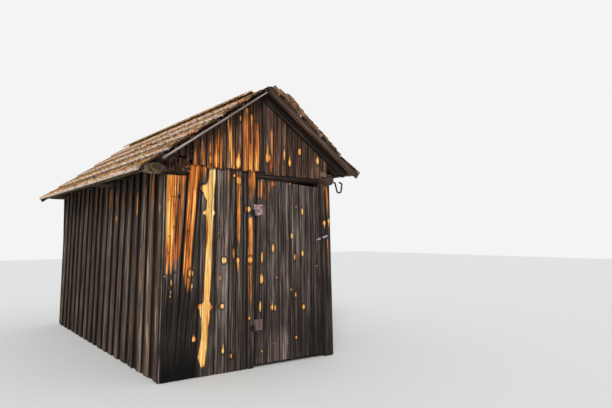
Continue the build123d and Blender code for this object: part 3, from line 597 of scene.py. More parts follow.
gable_wood = weathered_boards("weathered spruce boards, gable", "#21140f", "#573e31", "#9f785c")
gable_piece = boards(
    "gable_boards", gable_pairs, gable_pairs, gable_ends, gable_top(gable_pairs), on_end_wall(gable_y),
    gable_wood, 21, gable_marks, across=12, step=0.01, thickness=0.021, setback=0.003, ragged=0.008,
)
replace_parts(gable_piece, "front_gable")
corner_pairs = np.array([(-0.962, -0.902), (-0.9, -0.829), (-0.827, -0.756)])
boards(
    "gable_corner_stubs", corner_pairs, corner_pairs, [2.272, 2.258, 2.232], gable_top(corner_pairs),
    on_end_wall(gable_y + stub_setback), gable_wood, 23, lambda u, z: {"shade": 0.55, "warm": 0.05},
    across=8, step=0.01, thickness=0.012, setback=0.006, ragged=0.022,
)
boards(
    "gable_cover_strip", [(0.13, 0.158)], [(0.085, 0.118)], 2.155, 2.99,
    on_end_wall(gable_y - strip_front), board_wood, 22, lambda u, z: {"shade": 0.95},
    across=6, step=0.03, thickness=0.012, setback=0.0,
)


# Side and back walls: spruce boards in two layers. The inner boards stand apart, and wide ribs are
# nailed over the gaps, so that the joints are covered. The left wall's boards lean forwards.
wall_end = 2.292
left_top = 2.143
right_top = 2.262
back_end = 1.04
back_top = 2.138
back_gable_half = 0.998
back_gable_foot = 2.107
left_rib = 0.14
hidden_rib = 0.135
log_places = np.array([-2.205, -0.45, 2.205])
log_room = 0.079
log_sides = np.concatenate([log_places - log_room, log_places + log_room])
log_cut = 2.047
rib_foot = 0.012
rib_stand = 0.023


def on_side_wall(turn):
    """Gives place(u, z, depth) for a side wall. Seen from outside, u runs to the right and depth into
    the hut. turn is 1 at the right, -1 at the left."""
    return lambda u, z, depth: together(turn * (half_width(z) - depth), turn * u, z)


def side_tops(pairs, top, turn):
    """A board that meets a log ends below it, the others at the wall's top."""
    y = np.sort(turn * pairs)
    reach = log_room - 0.003
    meets = ((y[:, :1] < log_places + reach) & (y[:, 1:] > log_places - reach)).any(1)
    return np.where(meets, log_cut, top)


tan_patches = [
    (2.2, 1.72, 0.02, 0.05, 0.0, 0.5),
    (2.0, 1.92, 0.035, 0.16, 0.0, 1.0),
    (1.77, 1.93, 0.03, 0.06, 0.0, 0.9),
    (1.51, 1.8, 0.03, 0.11, 0.0, 1.0),
    (1.24, 1.9, 0.035, 0.1, 0.0, 0.7),
    (0.98, 1.86, 0.05, 0.13, 0.0, 0.6),
    (0.74, 1.66, 0.04, 0.035, 0.0, 0.6),
    (0.72, 1.9, 0.05, 0.12, 0.0, 0.5),
    (0.46, 1.9, 0.05, 0.12, 0.0, 0.55),
]


def rib_marks(u, z):
    """Tan-orange patches high up under the eaves, paler ribs towards the front corner, and darker
    wood at the foot and far from the front."""
    patch = 0.5 + 0.5 * np.sin(19 * u + 1.3) * np.sin(7.3 * u)
    patch = np.where(u > 0.3, knot_marks(u, z, tan_patches)[0], 0.34 * patch * soft_step((z - 1.45) / 0.5))
    pale = np.interp(
        u, [-2.3, -1, 0.6, 0.75, 0.98, 1.1, 1.26, 1.4, 1.5, 1.68, 1.74, 1.84, 1.93, 2.0, 2.1, 2.2, 2.3],
        [0.7, 0.8, 0.8, 0.6, 1.15, 0.8, 1.35, 0.8, 0.75, 1.1, 1.65, 1.1, 1.7, 1.3, 1.0, 1.35, 1.5],
    )
    pale = pale * (1 - 0.22 * soft_step((z - 1.3) / 0.7) * (u < 1.6))
    return {"warm": patch, "shade": pale * (1 - 0.25 * soft_step((0.5 - z) / 0.5))}


side_wood = weathered_boards("weathered spruce boards, side walls", "#1d140f", "#503f32", "#a38c75")


def two_layers(name, end, middles, rib, tops, place, seed, breaks, lean=0.0):
    """A wall's boards from -end to end: ribs about rib wide at the given middles, over inner boards
    that run from middle to middle and break on both sides of each log. Their heads stand further
    to the right than their feet by the lean. The ribs stand for the CAD node of the wall's name."""
    rng = np.random.default_rng(seed)
    middles = middles + rng.uniform(-0.012, 0.012, len(middles))
    widths = rib * rng.uniform(0.8, 1.2, len(middles))
    ribs = np.stack([middles - widths / 2, middles + widths / 2], -1)
    inner = side_by_side(np.sort(np.concatenate([[-end], middles, [end], breaks])))
    inner = inner[inner[:, 1] - inner[:, 0] > 0.012]

    def leant(pairs, way):
        """Edges moved by half the lean. The lean is none at the far end and 0.25 m short of the near
        one, and grows to all of it within 0.1 m and 1.2 m from there."""
        share = lean * np.clip((end - 0.25 - pairs) / 1.2, 0, 1) * np.clip((pairs + end) / 0.1, 0, 1)
        return pairs + way * share / 2

    outer = boards(
        name + "_ribs", leant(ribs, -1), leant(ribs, 1), rib_foot, tops(ribs), place, side_wood,
        seed + 1, rib_marks, step=0.03, thickness=0.018, setback=0.003, ragged=0.008,
    )
    # The inner boards are darkened to 0.22: painted shade in the recesses between the ribs.
    boards(
        name + "_inner", leant(inner, -1), leant(inner, 1), board_foot, tops(inner),
        lambda u, z, depth: place(u, z, depth + rib_stand), side_wood, seed + 2,
        lambda u, z: {"shade": 0.22}, across=7, step=0.05, thickness=0.018, setback=0.001,
    )
    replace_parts(outer, name)


two_layers(
    "left_wall", wall_end, np.append(2.2, 1.965 - 0.248 * np.arange(17)), left_rib,
    lambda pairs: side_tops(pairs, left_top, -1), on_side_wall(-1), 31, -log_sides, lean=0.1,
)
two_layers(
    "right_wall", wall_end, 0.27 * np.arange(-8, 9), hidden_rib,
    lambda pairs: side_tops(pairs, right_top, 1), on_side_wall(1), 41, log_sides,
)
two_layers(
    "back_wall", back_end, 0.26 * np.arange(-3.5, 4), hidden_rib, lambda pairs: back_top,
    on_end_wall(front_y, -1), 51, [],
)
back_pairs = side_by_side(np.linspace(-back_gable_half, back_gable_half, 17), 0.0005)
back_gable = boards(
    "back_gable_boards", back_pairs, back_pairs, back_gable_foot, gable_top(-back_pairs),
    on_end_wall(gable_y, -1), side_wood, 61, across=8, step=0.05, thickness=0.024, setback=0.004,
)
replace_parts(back_gable, "back_gable")


# Tie beams: whole spruce logs, peeled and hewn by hand, laid across the hut with their ends out
# under the eaves. Drying cracks run along them, and the front one is rotten and split at the left.
log_radius = 0.07
log_level = 2.126
log_ends = (-1.27, 1.145)
log_wood = sawn_timber("hewn log, drying cracks", "#1d1410", "#4d3b30", "#94806c", "#a08c74", "x")


def hewn_log(name, middle, wood, seed, slant):
    """A log along X: at angle g and place x its radius is 65.5 mm, less hewn flats, a few drying
    cracks that wander round it, and a worn rounding over the last 20 mm. The left end is a shallow
    bowl, cut aslant: x grows there by slant * (1 - y / 70 mm) / 2, and by less and less along the
    log. The cut face is palest towards its rim and low down at its outer side: a painted highlight."""
    rng = np.random.default_rng(seed)
    start = log_ends[0]
    x = np.linspace(start, log_ends[1], 90)
    x = np.concatenate([[x[0] + 0.004, x[0] + 0.012], x[1:-1], [x[-1] - 0.012, x[-1] - 0.004, x[-1]]])
    hollow = np.array([0.018, 0.013, 0.006, 0.001])
    x = np.concatenate([start + hollow, [start], x])[None, :, None]
    g = np.linspace(0, 2 * math.pi, 56, endpoint=False)[None, None, :]
    flats = 0.0022 * np.cos(5 * g + rng.uniform(0, 6) + 0.6 * np.sin(2.1 * x))
    flats = flats + 0.0016 * np.cos(9 * g + 3 * x)
    ragged = 0.0012 * np.sin(31 * x + 3 * g) * np.sin(17 * x + rng.uniform(0, 6))
    cracks = 0
    for turn in rng.uniform(0, 2 * math.pi, 7):
        off = np.angle(np.exp(1j * (g - turn - 0.12 * np.sin(2.3 * x + turn))))
        run = soft_step(1.4 * np.sin(1.9 * x + 3 * turn) + 0.6)
        cracks = np.maximum(cracks, run * bell(off / 0.07))
    tip = np.minimum(x - start, log_ends[1] - x)
    worn = 0.012 * (1 - soft_step(tip / 0.02)) ** 2
    worn[:, :4] = np.array([0.0535, 0.0355, 0.0205, 0.0135])[None, :, None]
    radius = log_radius - 0.0045 - flats - ragged - 0.008 * cracks - worn
    x = x + slant * (1 - radius / log_radius * np.cos(g)) / 2 * (1 - (x - start) / (log_ends[1] - start))
    cut = np.zeros(radius.shape)
    # Painted highlight: the end-grain colour's share peaks on the rim and low at the outer side.
    cut[:, :6] = np.array([0.6, 0.8, 0.9, 1.0, 1.0, 0.5])[None, :, None] * (0.65 + 0.35 * np.cos(g + 0.6))
    points = together(x, middle + radius * np.cos(g), log_level + radius * np.sin(g))
    return closed_bars(name, points, wood, None, {"cut": cut}, 50)


# The rotting log's end colour is pale, so that its cut face looks lit under the eave's shade: painted light.
rotting_log = sawn_timber("hewn log, rotting", "#120c09", "#3d2d23", "#857060", "#e0bb9b", "x")
logs = (("front", rotting_log, 65, 0.26), ("middle", log_wood, 66, 0.0), ("back", log_wood, 64, 0.0))
for (which, wood, seed, slant), middle in zip(logs, log_places):
    log = hewn_log("hewn_log_" + which, middle, wood, seed, slant)
    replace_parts(log, "tie_beam_" + which)
rotten = weathered_boards("rotten log, brown and split", "#120b08", "#3a261c", "#8a664b")


def shards(name, lows, highs, lengths, thicknesses, tilts, seed, count, values):
    """Splinters: slim bars with a rough four-sided section, pointed at both ends, tilted from X towards
    upright. At s along one, from -1 to 1, its thickness is (1 - s^4) of the whole."""
    rng = np.random.default_rng(seed)
    middle = rng.uniform(lows, highs, (count, 3))[:, None, None, :]
    length = rng.uniform(*lengths, (count, 1, 1))
    thick = rng.uniform(*thicknesses, (count, 1, 1))
    tilt = rng.uniform(*tilts, (count, 1, 1))
    s = np.linspace(-1, 1, 9)[None, :, None]
    g = np.array([0.6, 2.0, 3.7, 5.2])[None, None, :] + rng.uniform(0, 3, (count, 1, 1))
    r = thick / 2 * (1 - s ** 4) * rng.uniform(0.6, 1.2, (count, 9, 4)) + 0.0004
    a, b, c = s * length / 2, r * np.cos(g), 1.5 * r * np.sin(g)
    local = np.broadcast_arrays(a * np.cos(tilt) - c * np.sin(tilt), b, a * np.sin(tilt) + c * np.cos(tilt))
    points = np.clip(middle + np.stack(local, -1), np.array(lows) - 0.004, np.array(highs) + 0.012)
    grain = together(c + 40 * middle[..., 2], a + 40 * middle[..., 0])
    closed_bars(name, points, rotten, grain, values)


shards(
    "log_splinters", (-1.0, -2.325, 2.1), (-0.79, -2.275, 2.225), (0.05, 0.13), (0.008, 0.02),
    (1.0, 2.1), 65, 150, {"shade": 1.0},
)
shards(
    "log_splinters_bright", (-0.83, -2.327, 2.09), (-0.79, -2.318, 2.2), (0.025, 0.05), (0.005, 0.01),
    (-0.9, 0.9), 66, 4, {"shade": 1.2, "warm": 1.0, "heart": 0.3},
)


# Rafters, battens and eave boards: sawn spruce. The rafters are notched over the pole plates, and
# the battens are nailed across them. They are dry under the tiles, and their colours there are
# painted dark as painted shade; the eave boards, out in the weather, have silvered.
painted_shade_under_tiles = ("#1b1410", "#352a21", "#5b4a3a", "#66543f")
slope_wood = sawn_timber("sawn spruce, down the slope", *painted_shade_under_tiles, "slope")
batten_wood = sawn_timber("sawn spruce, along the roof", *painted_shade_under_tiles, "y")
carry(["rafters_left", "rafters_right"], slope_wood)
carry(["battens_left", "battens_right"], batten_wood)
eave_wood = sawn_timber("sawn spruce, silvered at the eaves", "#2c2418", "#5b4f38", "#8d8160", "#8a7d66", "y")
carry(["eave_boards"], eave_wood)


# Verge trim: a weathered plank under the tile edges, peeled poles along it, silver on the left and
# browner on the sheltered right, and soffit boards, dark brown and darkened further as painted
# shade under the verge.
plank_wood = sawn_timber("weathered plank, brown-grey", "#1c1410", "#3f3129", "#6d5b4d", "#544538", "slope")
# Soffit colours: dark brown boards, darkened further as painted shade under the verge.
soffit_wood = sawn_timber("soffit boards, painted shade", "#110c09", "#241a15", "#40322a", "#2d2a1c", "slope")
carry(["verge_boards"], plank_wood)
carry(["verge_soffit", "verge_strip"], soffit_wood)
pole_wood = weathered_boards("peeled pole, silvered", "#4d4340", "#94877f", "#bfb3a8")
eave_tip = 1.393


def on_slope(side, run, depth, y):
    """A place on a slope: run up it from the tile tips, depth under the tips' plane."""
    tip = roof_top - (eave_tip - side * ridge_x) * math.tan(pitch)
    x = side * (eave_tip - run * math.cos(pitch) - depth * math.sin(pitch))
    z = tip + run * math.sin(pitch) - depth * math.cos(pitch)
    return together(x, y, z)


def slope_length(side):
    """Length of a slope from the tile tips to the ridge."""
    return (eave_tip - side * ridge_x) / math.cos(pitch)


def peeled_poles(name, places, seed):
    """Crooked poles up the slopes, each with its side, its foot's run and its y. A pole thins from
    12.5 to 9 mm radius, and its middle wanders by up to 2 mm: sin and cos of the run with random
    phases."""
    rng = np.random.default_rng(seed)
    sides, foot, y = np.array(places, float).T[..., None, None]
    t = np.linspace(0, 1, 70)[None, :, None]
    g = np.linspace(0, 2 * math.pi, 14, endpoint=False)[None, None, :] * -sides
    head = slope_length(sides) - 0.064
    run = foot + t * (head - foot)
    phase = rng.uniform(0, 6, (len(places), 1, 1))
    radius = (0.0125 - 0.0035 * t) * (1 + 0.05 * np.sin(23 * run + phase) + 0.03 * np.sin(3 * g))
    radius = radius * np.minimum(1, 0.7 + 25 * np.minimum(t, 1 - t))
    middle_y = y + 0.002 * np.sin(7 * run + phase)
    middle_depth = 0.0732 + 0.001 * np.cos(5 * run + phase)
    points = on_slope(sides, run, middle_depth + radius * np.cos(g), middle_y + radius * np.sin(g))
    values = {
        "shade": np.where(sides > 0, 0.75, 1.0), "warm": np.where(sides > 0, 0.55, 0.0),
        "tone": rng.uniform(-0.5, 0.5, (len(places), 1, 1)),
    }
    return closed_bars(
        name, points, pole_wood, together(g * 0.012 + phase * 9, run), values, 180
    )


poles = peeled_poles(
    "peeled_poles", [(-1, 0.28, -2.448), (1, 0.06, -2.432), (-1, 0.06, 2.432), (1, 0.06, 2.432)], 67
)
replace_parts(poles, "verge_laths")


# Roof tiles: moulded red clay tiles with a raised rim, a low rib and a side roll, hooked over the
# battens, their thick butts showing. They are mossy, and orange-red where freshly broken.
gauge = 0.355
verge_end = 2.48
tile_columns = 24
batten_top = 0.036


def roof_tiles(name, side, seed):
    """Tiles of one slope as closed bars with their rings up the slope. Across a tile, with a from 0
    to 1, the top lies 14 mm deep in the pans, 1 mm on the roll (a near 0.9), 2 mm on the rim (a near
    0) and 9 mm on the rib (a near 0.45). Up the tile, with b from 0 to 1, it goes 22 mm deeper. The
    underside is 13 mm below, or 33 mm at the butt, but at least 0.2 mm above the battens."""
    rng = np.random.default_rng(seed)
    end = slope_length(side) - 0.03
    courses = math.ceil(end / gauge - 0.2)
    count = courses * tile_columns
    course, column = np.divmod(np.arange(count)[:, None, None], tile_columns)
    width = 2 * verge_end / tile_columns
    across = 18
    a = np.linspace(0, 1, across)
    pan = 0.014 - 0.013 * bell((a - 0.9) / 0.085) - 0.005 * bell((a - 0.45) / 0.07) - 0.012 * bell(a / 0.07)
    b = np.array([0, 0.012, 0.04, 0.25, 0.5, 0.75, 1.0])[None, :, None]
    nose = np.array([0.004, 0.001, 0, 0, 0, 0, 0])[None, :, None]
    lift = rng.uniform(0, 0.0035, (count, 1, 1)) * (1 - b)
    top = np.maximum(pan[None, None, :] + 0.022 * b + nose - lift, 0.0005)
    under = np.minimum(top + 0.013 + 0.02 * bell(b / 0.06), batten_top - 0.0002)
    length = np.where(course == courses - 1, end - (courses - 1) * gauge, gauge)
    skew = rng.uniform(-0.003, 0.003, (count, 1, 1))
    run = course * gauge + b * length + rng.uniform(0, 0.008, (count, 1, 1)) * (1 - b)
    y = -verge_end + (column + 0.004 + 0.992 * a[None, None, :]) * width
    y = np.clip(y + skew * (1 - b) * (column > 0) * (column < tile_columns - 1), -verge_end, verge_end)
    ring_depth = np.concatenate([top, under[:, :, ::-1]], 2)
    ring_y = np.concatenate([y, y[:, :, ::-1]], 2)
    # Painted shade: the underside's ring points, and the outer sides of the verge tiles, are made dark.
    shaded = np.where(np.arange(2 * across) < across, 0.0, 0.9) * np.ones((count, 1, 1))
    shaded[:, :, 0] = 0.8 * (column[:, :, 0] == 0)
    shaded[:, :, across - 1] = 0.8 * (column[:, :, 0] == tile_columns - 1)
    if side < 0:
        ring_depth, ring_y, shaded = (part[:, :, ::-1] for part in (ring_depth, ring_y, shaded))
    points = on_slope(side, run, ring_depth, ring_y)
    values = {
        "tone": rng.uniform(-1, 1, (count, 1, 1)),
        "butt": np.exp(-b / 0.05),
        "fresh": (rng.uniform(0, 1, (count, 1, 1)) < 0.03) + 1.0 * (column == 0) * np.isin(course, (2, 4)),
        "painted_shade": np.maximum(1.4 * np.exp(-(1 - b) / 0.13), shaded * (1 - np.exp(-b / 0.035))),
    }
    return closed_bars(name, points, old_clay, together(ring_y, run), values, 35)


def clay(tree):
    """Old fired clay: the eye sees brick red with sooty dark specks, pale pinkish worn butts,
    brightened further as a painted highlight, orange-red where a tile is newly broken, and dry olive
    moss with lichen, in cushions 20 to 80 mm wide. Near-black painted shade lies in the joint under
    each butt and on the tiles' undersides."""
    place = add(tree, "TexCoord", out="Object")
    held = {
        key: add(tree, "Attribute", attribute_name=key, out=2)
        for key in ("tone", "butt", "fresh", "painted_shade")
    }
    cloud = add(tree, "TexNoise", {"Vector": place, "Scale": 9.0, "Detail": 6.0})
    sand = add(tree, "TexNoise", {"Vector": place, "Scale": 260.0, "Detail": 3.0})
    body = add(tree, "Math", {0: held["tone"], 1: 0.1, 2: cloud}, operation="MULTIPLY_ADD")
    body = add(tree, "Math", {0: sand, 1: 0.2, 2: body}, operation="MULTIPLY_ADD")
    colour = add(tree, "ValToRGB", {0: body}, stops=[
        (0.42, "#4a2e1e"), (0.54, "#8a5434"), (0.66, "#b8764e"), (0.8, "#d6a17c"),
    ])
    lichen = add(tree, "TexNoise", {"Vector": place, "Scale": 38.0, "Detail": 5.0})
    pale = add(tree, "MapRange", {0: lichen, 1: 0.54, 2: 0.61, 3: 0.0, 4: 0.9})
    colour = add(tree, "Mix", {0: pale, 6: colour, 7: "#bda57c"}, out=2, data_type="RGBA")
    tuft = add(tree, "TexNoise", {"Vector": place, "Scale": 13.0, "Detail": 8.0, "Roughness": 0.7})
    moss = add(tree, "MapRange", {0: tuft, 1: 0.5, 2: 0.57, 3: 0.0, 4: 0.9})
    green = add(tree, "ValToRGB", {0: lichen}, stops=[
        (0.35, "#54431a"), (0.5, "#a08434"), (0.65, "#d2b35e"),
    ])
    colour = add(tree, "Mix", {0: moss, 6: colour, 7: green}, out=2, data_type="RGBA")
    # The butts are pale: worn clay, lightened further as a painted highlight where low sun would catch them.
    worn = add(tree, "Math", {0: lichen, 1: 3.0, 2: -0.6}, operation="MULTIPLY_ADD")
    worn = add(tree, "Math", {0: worn, 1: held["butt"]}, operation="MULTIPLY", use_clamp=True)
    colour = add(tree, "Mix", {0: worn, 6: colour, 7: "#fadfc9"}, out=2, data_type="RGBA")
    broken = add(tree, "Math", {0: held["butt"], 1: held["fresh"]}, operation="MULTIPLY")
    broken = add(tree, "Math", {0: broken, 1: cloud}, operation="MULTIPLY")
    broken = add(tree, "MapRange", {0: broken, 1: 0.15, 2: 0.4})
    colour = add(tree, "Mix", {0: broken, 6: colour, 7: "#cf6a40"}, out=2, data_type="RGBA")
    hollows = add(tree, "MapRange", {0: lichen, 1: 0.45, 2: 0.38, 3: 0.0, 4: 0.7})
    # Painted shade in the joint under each butt and on undersides, joined with the dark specks of the lichen
    # noise.
    soot = add(tree, "Math", {0: held["painted_shade"], 1: hollows}, operation="MAXIMUM")
    soot = add(tree, "Math", {0: soot, 1: 0.95}, operation="MULTIPLY", use_clamp=True)
    colour = add(tree, "Mix", {0: soot, 6: colour, 7: "#100c09"}, out=2, data_type="RGBA")
    relief = add(tree, "Math", {0: moss, 1: 0.7, 2: sand}, operation="MULTIPLY_ADD")
    return colour, 0.93, relief, 0.005, {"Specular IOR Level": 0.2}


old_clay = finish_material("old mossy clay", clay)
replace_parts(roof_tiles("roof_tiles_left_slope", -1, 71), "roof_tiles_left")
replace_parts(roof_tiles("roof_tiles_right_slope", 1, 72), "roof_tiles_right")


# Broken verge tiles lie along the front edge of the right slope in a second, uneven layer, pushed up
# most below the ridge. Each has a rough upright rim at its outer side, and they lap up the slope.
rim_run = [0.45, 0.75, 0.95, 1.1, 1.22, 1.33, 1.4, 1.53]
rim_rise = [0.01, 0.024, 0.034, 0.048, 0.068, 0.078, 0.046, 0.022]


def lapped_pieces(name, count, seed):
    """Pieces 100 to 150 mm long at even steps up the slope. Their tops stand over the tiles by the
    rise listed above, and up to 10 mm more at their lower ends. Corners stray by up to 3 mm."""
    rng = np.random.default_rng(seed)
    first = np.linspace(rim_run[0], rim_run[-1] - 0.1, count)[:, None, None]
    long = rng.uniform(0.1, 0.15, (count, 1, 1))
    t = np.linspace(0, 1, 7)[None, :, None]
    run = np.minimum(first + t * long, rim_run[-1])
    rise = np.interp(first + long / 2, rim_run, rim_rise) + rng.uniform(0, 0.01, (count, 1, 1)) * (1 - t)
    across = np.array([0.004, 0.0, 0.003, 0.02, 0.05, 0.085, 0.09])[None, None, :]
    up = np.array([0, 0.5, 0.95, 1.0, 0.8, 0.45, 0])[None, None, :]
    stray = rng.uniform(-0.003, 0.003, (3, count, 7, 7))
    depth = 0.006 - up * (rise + 0.006) + stray[0] * (up > 0)
    points = on_slope(1, run + stray[2], depth, -verge_end + 0.004 + across + stray[1])
    # Painted shade on the pushed-up pieces, darkest at their feet.
    values = {"tone": rng.uniform(-1, 1, (count, 1, 1)), "butt": 0.1, "fresh": 0.4, "painted_shade": 0.72 - 0.2 * up}
    closed_bars(name, points, old_clay, points[..., :2], values)


lapped_pieces("lapped_verge_tiles", 12, 75)


# Ridge tiles: eleven rounded caps of the same fired clay, bedded dry over the ridge, each a little
# flared at its front end. The foremost one is gone, so the row starts behind the front verge. A cap
# drops from the ridge as sqrt(x^2 + r^2) - r, times the roof's slope.
ridge_start = -2.07
cap_count = 11
cap_top = 3.13688
cap_flare = 0.0015
cap_thickness = 0.0125
cap_half = 0.110
cap_rounding = 0.012
cap_gap = 0.006
cap_run = (verge_end - ridge_start) / cap_count
cap_front = ridge_start + np.arange(cap_count)[:, None, None] * cap_run
along_cap = np.array([0, 0.03, 0.1, 0.5, 0.97, 1.0])[None, :, None]
wing_x = cap_half * math.cos(pitch) * np.linspace(-1, 1, 17)[None, None, :]
wing_drop = (np.sqrt(wing_x ** 2 + cap_rounding ** 2) - cap_rounding) * math.tan(pitch)
outer_z = cap_top - cap_flare * soft_step((along_cap - 0.06) / 0.1) - wing_drop
inner_z = cap_top - cap_flare - cap_thickness / math.cos(pitch) - wing_drop
inner_z = np.broadcast_to(inner_z, outer_z.shape)
cap_points = together(
    ridge_x + np.concatenate([wing_x, wing_x[..., ::-1]], 2), cap_front + along_cap * (cap_run - cap_gap),
    np.concatenate([outer_z, inner_z[..., ::-1]], 2),
)
cap_tone = np.random.default_rng(81).uniform(-1, 1, (cap_count, 1, 1))
ridge_caps = closed_bars(
    "ridge_caps", cap_points, old_clay, cap_points[..., :2],
    {"tone": cap_tone, "butt": np.exp(-along_cap / 0.05), "fresh": 0.0}, 35,
)
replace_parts(ridge_caps, "ridge_tiles")


# Door: six upright spruce planks nailed to ledges and a brace behind, hung on the left, weathered
# cool grey and dark at the foot. Its top edge drops to the right.
plank_edges = np.array([-0.008, 0.146, 0.298, 0.446, 0.588, 0.742, 0.895])
leaf_left = 0.02
leaf_width = 0.875
leaf_foot = 0.04
leaf_top = 2.078
leaf_drop = 0.066
plank_spread = 0.01
door_head = side_by_side(plank_edges)
door_head[0, 0] = 0.022
door_head[-1, 1] = leaf_left + leaf_width
door_foot = side_by_side(plank_edges + plank_spread * np.arange(7))
door_foot[-1, 1] = 0.955
door_high = leaf_top - leaf_drop * (door_head - leaf_left) / leaf_width
door_knots = [
    (0.46, 2.045, 0.028, 0.013, 0.0, 0.7),
    (0.55, 1.775, 0.008, 0.026, 0.0, 0.8),
    (0.64, 1.72, 0.013, 0.034, 0.0, 0.9),
    (0.485, 1.435, 0.015, 0.03, 0.0, 1.0),
    (0.235, 1.3, 0.012, 0.04, 0.0, 1.0),
    (0.09, 1.2, 0.01, 0.06, 0.0, 0.9),
    (0.535, 1.195, 0.012, 0.04, 0.0, 0.9),
    (0.64, 1.23, 0.015, 0.03, 0.0, 1.0),
    (0.85, 1.08, 0.01, 0.012, 0.0, 0.9),
    (0.085, 0.96, 0.016, 0.05, 0.12, 1.0),
    (0.28, 0.97, 0.01, 0.012, 0.0, 0.8),
    (0.485, 0.82, 0.013, 0.015, 0.0, 0.9),
    (0.545, 0.76, 0.008, 0.03, 0.0, 0.9),
    (0.07, 0.66, 0.012, 0.055, 0.0, 0.9),
    (0.22, 0.64, 0.015, 0.035, 0.18, 1.0),
    (0.265, 0.63, 0.012, 0.035, 0.0, 0.9),
    (0.655, 0.61, 0.02, 0.025, 0.0, 1.0),
    (0.07, 0.42, 0.01, 0.015, 0.0, 0.6),
    (0.24, 0.24, 0.01, 0.015, 0.0, 0.7),
    (0.09, 0.17, 0.01, 0.015, 0.0, 0.7),
    (0.55, 0.27, 0.012, 0.016, 0.0, 0.8),
    (0.27, 0.38, 0.012, 0.014, 0.0, 0.5),
]
door_warm = [
    ([1.84, 1.95, 2.08], [0.04, 0.036, 0.036], [0.054, 0.056, 0.056]),
    ([1.84, 1.95, 2.08], [0.07, 0.068, 0.068], [0.086, 0.09, 0.09]),
    ([1.8, 1.95, 2.08], [0.12, 0.118, 0.116], [0.142, 0.148, 0.15]),
    ([1.88, 1.98, 2.08], [0.18, 0.178, 0.178], [0.2, 0.204, 0.204]),
    ([1.98, 2.02, 2.07], [0.21, 0.212, 0.215], [0.275, 0.275, 0.272]),
]
pale_lines = np.array([0.16, 0.31, 0.45, 0.59, 0.65, 0.93])


def door_marks(u, z):
    """Grey, orange at the top left, dark at the foot, with thin pale lines where edges catch light."""
    knots, rings = knot_marks(u, z, door_knots)
    warm = 0.8 * streak_marks(u, z, door_warm, 0.012)
    pale = (bell((u[..., None] - pale_lines) / 0.004) * np.where(pale_lines < 0.6, 1, 0.5)).max(-1)
    pale = pale * soft_step((z - 0.1) / 0.2) * soft_step((1.7 - z) / 0.4)
    worn_foot = soft_step((0.45 - z) / 0.25) * soft_step((u - 0.02) / 0.1) * soft_step((0.56 - u) / 0.15)
    shade = 0.98 - 0.52 * soft_step((1.3 - z) / 1.1) - 0.24 * soft_step((u - 0.6) / 0.35) + pale
    shade = shade + 0.95 * worn_foot
    return {"heart": knots, "warm": warm, "stain": 0.6 * rings * (knots < 0.4), "shade": shade}


door_wood = weathered_boards("weathered spruce boards, door", "#1d1714", "#4a3e38", "#8c7e75")
door_planks = boards(
    "door_planks", door_foot, door_head, leaf_foot, door_high, on_front, door_wood, 91, door_marks,
    across=24, step=0.011, thickness=0.0255, setback=0.0012, ragged=0.001, body="door",
)
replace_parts(door_planks, "door_leaf")
carry(["door_ledges", "door_brace"], crosswise, 0.002)
lintel_wood = sawn_timber("lintel board, dark", "#120d0b", "#241a15", "#4a3a30", "#3a2e27", "x")
carry(["door_lintel"], lintel_wood, 0.002)


# Ironwork: forged hinge plates on the door, which turn on pins in the post, a hasp with its staple,
# and a hook. Plates are rusted, hasp and staple worn grey, and pins and hook nearly black.
def rusted(name, dark, middle, light, bright):
    """Old iron: the eye sees pinkish-grey scale, matt, with brown rust and dark pits 2 to 6 mm wide, and
    browner iron low down where rain splashes."""

    def build(tree):
        place = add(tree, "TexCoord", out="Object")
        scale = add(tree, "TexNoise", {"Vector": place, "Scale": 30.0, "Detail": 7.0})
        pits = add(tree, "TexNoise", {"Vector": place, "Scale": 190.0, "Detail": 4.0})
        height = add(tree, "Math", {0: pits, 1: 0.3, 2: scale}, operation="MULTIPLY_ADD")
        colour = add(tree, "ValToRGB", {0: height}, stops=[
            (0.48, dark), (0.58, middle), (0.68, light), (0.8, bright),
        ])
        level = add(tree, "SeparateXYZ", {0: place}, out=2)
        damp = add(tree, "MapRange", {0: level, 1: 0.8, 2: 1.2, 3: 0.75, 4: 0.0})
        colour = add(tree, "Mix", {0: damp, 6: colour, 7: "#452e24"}, out=2, data_type="RGBA")
        return colour, 0.7, height, 0.0015, {"Metallic": 0.15}

    return finish_material(name, build)


def blackened(tree):
    """Forged iron kept black by soot and old grease, with brown rust only in small patches."""
    place = add(tree, "TexCoord", out="Object")
    scale = add(tree, "TexNoise", {"Vector": place, "Scale": 120.0, "Detail": 5.0})
    colour = add(tree, "ValToRGB", {0: scale}, stops=[(0.4, "#070606"), (0.6, "#171210"), (0.75, "#35241e")])
    return colour, 0.6, scale, 0.0008, {"Metallic": 0.3}


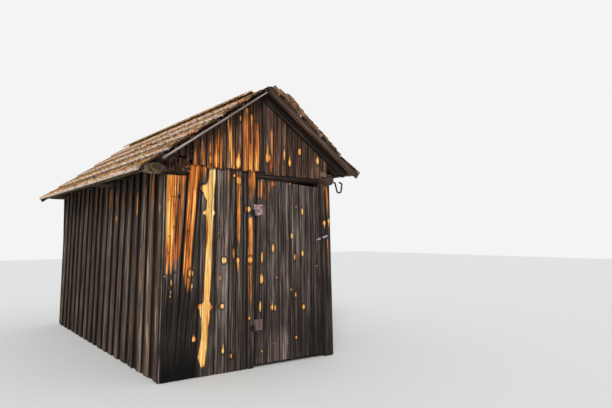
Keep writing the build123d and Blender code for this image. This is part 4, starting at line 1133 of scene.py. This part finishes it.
carry(["hinge_plates"], rusted("rusted iron", "#4a342c", "#7c5f58", "#997c7b", "#b3a0a3"), 0.0008)
latch_iron = rusted("worn grey iron", "#4f4550", "#807a8c", "#9d97a8", "#b9b3c0")
carry(["latch_hasp", "latch_staple"], latch_iron, 0)
black_iron = finish_material("blackened iron", blackened)
carry(["hinge_pintles"], black_iron, 0.0008)
carry(["iron_hook"], black_iron, 0)
for name, thickness in (("iron_hook", 0.004), ("latch_hasp", 0.002), ("latch_staple", 0.002)):
    scale_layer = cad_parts[name].modifiers.new("rust scale", "DISPLACE")
    scale_layer.strength, scale_layer.mid_level = thickness, 0


# Floor, light and camera. The floor is a plain pale sheet, the sky a soft even light, and a soft
# sun stands low at the front left.
floor_mesh = bpy.data.meshes.new("floor")
floor_mesh.from_pydata([(-30, -30, 0), (30, -30, 0), (30, 30, 0), (-30, 30, 0)], [], [(0, 1, 2, 3)])
floor = bpy.data.objects.new("floor", floor_mesh)
bpy.context.scene.collection.objects.link(floor)
plain = bpy.data.materials.new("plain pale floor")
plain.use_nodes = True
plain_look = plain.node_tree.nodes["Principled BSDF"].inputs
plain_look["Base Color"].default_value = linear("#e4e3e0")
plain_look["Roughness"].default_value = 0.95
floor_mesh.materials.append(plain)

world = bpy.data.worlds.new("soft sky")
bpy.context.scene.world = world
world.use_nodes = True
sky = world.node_tree
sky.nodes.clear()
seen = 0.0
for ray in ("Is Camera Ray", "Is Glossy Ray", "Is Transmission Ray"):
    seen = add(sky, "Math", {0: seen, 1: add(sky, "LightPath", out=ray)}, operation="MAXIMUM")
soft = add(sky, "Background", {"Color": "#eef1f5", "Strength": 0.75})
white = add(sky, "Background", {"Color": "#f4f4f4", "Strength": 1.0})
surface = add(sky, "MixShader", {0: seen, 1: soft, 2: white})
add(sky, "OutputWorld", {"Surface": surface})

sun_data = bpy.data.lights.new("soft sun", "SUN")
sun_data.energy = 2.0
sun_data.angle = math.radians(18)
sun = bpy.data.objects.new("soft sun", sun_data)
sun.rotation_euler = (math.radians(61), 0, math.radians(-36))
bpy.context.scene.collection.objects.link(sun)

camera_data = bpy.data.cameras.new("camera")
camera_data.sensor_width = 36
camera_data.lens = 31.72
camera = bpy.data.objects.new("camera", camera_data)
camera.location = (-3.026, -7.466, 1.4355)
camera.rotation_euler = (math.radians(93.38), 0.0041, math.radians(-35.73))
bpy.context.scene.collection.objects.link(camera)
bpy.context.scene.camera = camera
bpy.context.scene.view_settings.view_transform = "Standard"
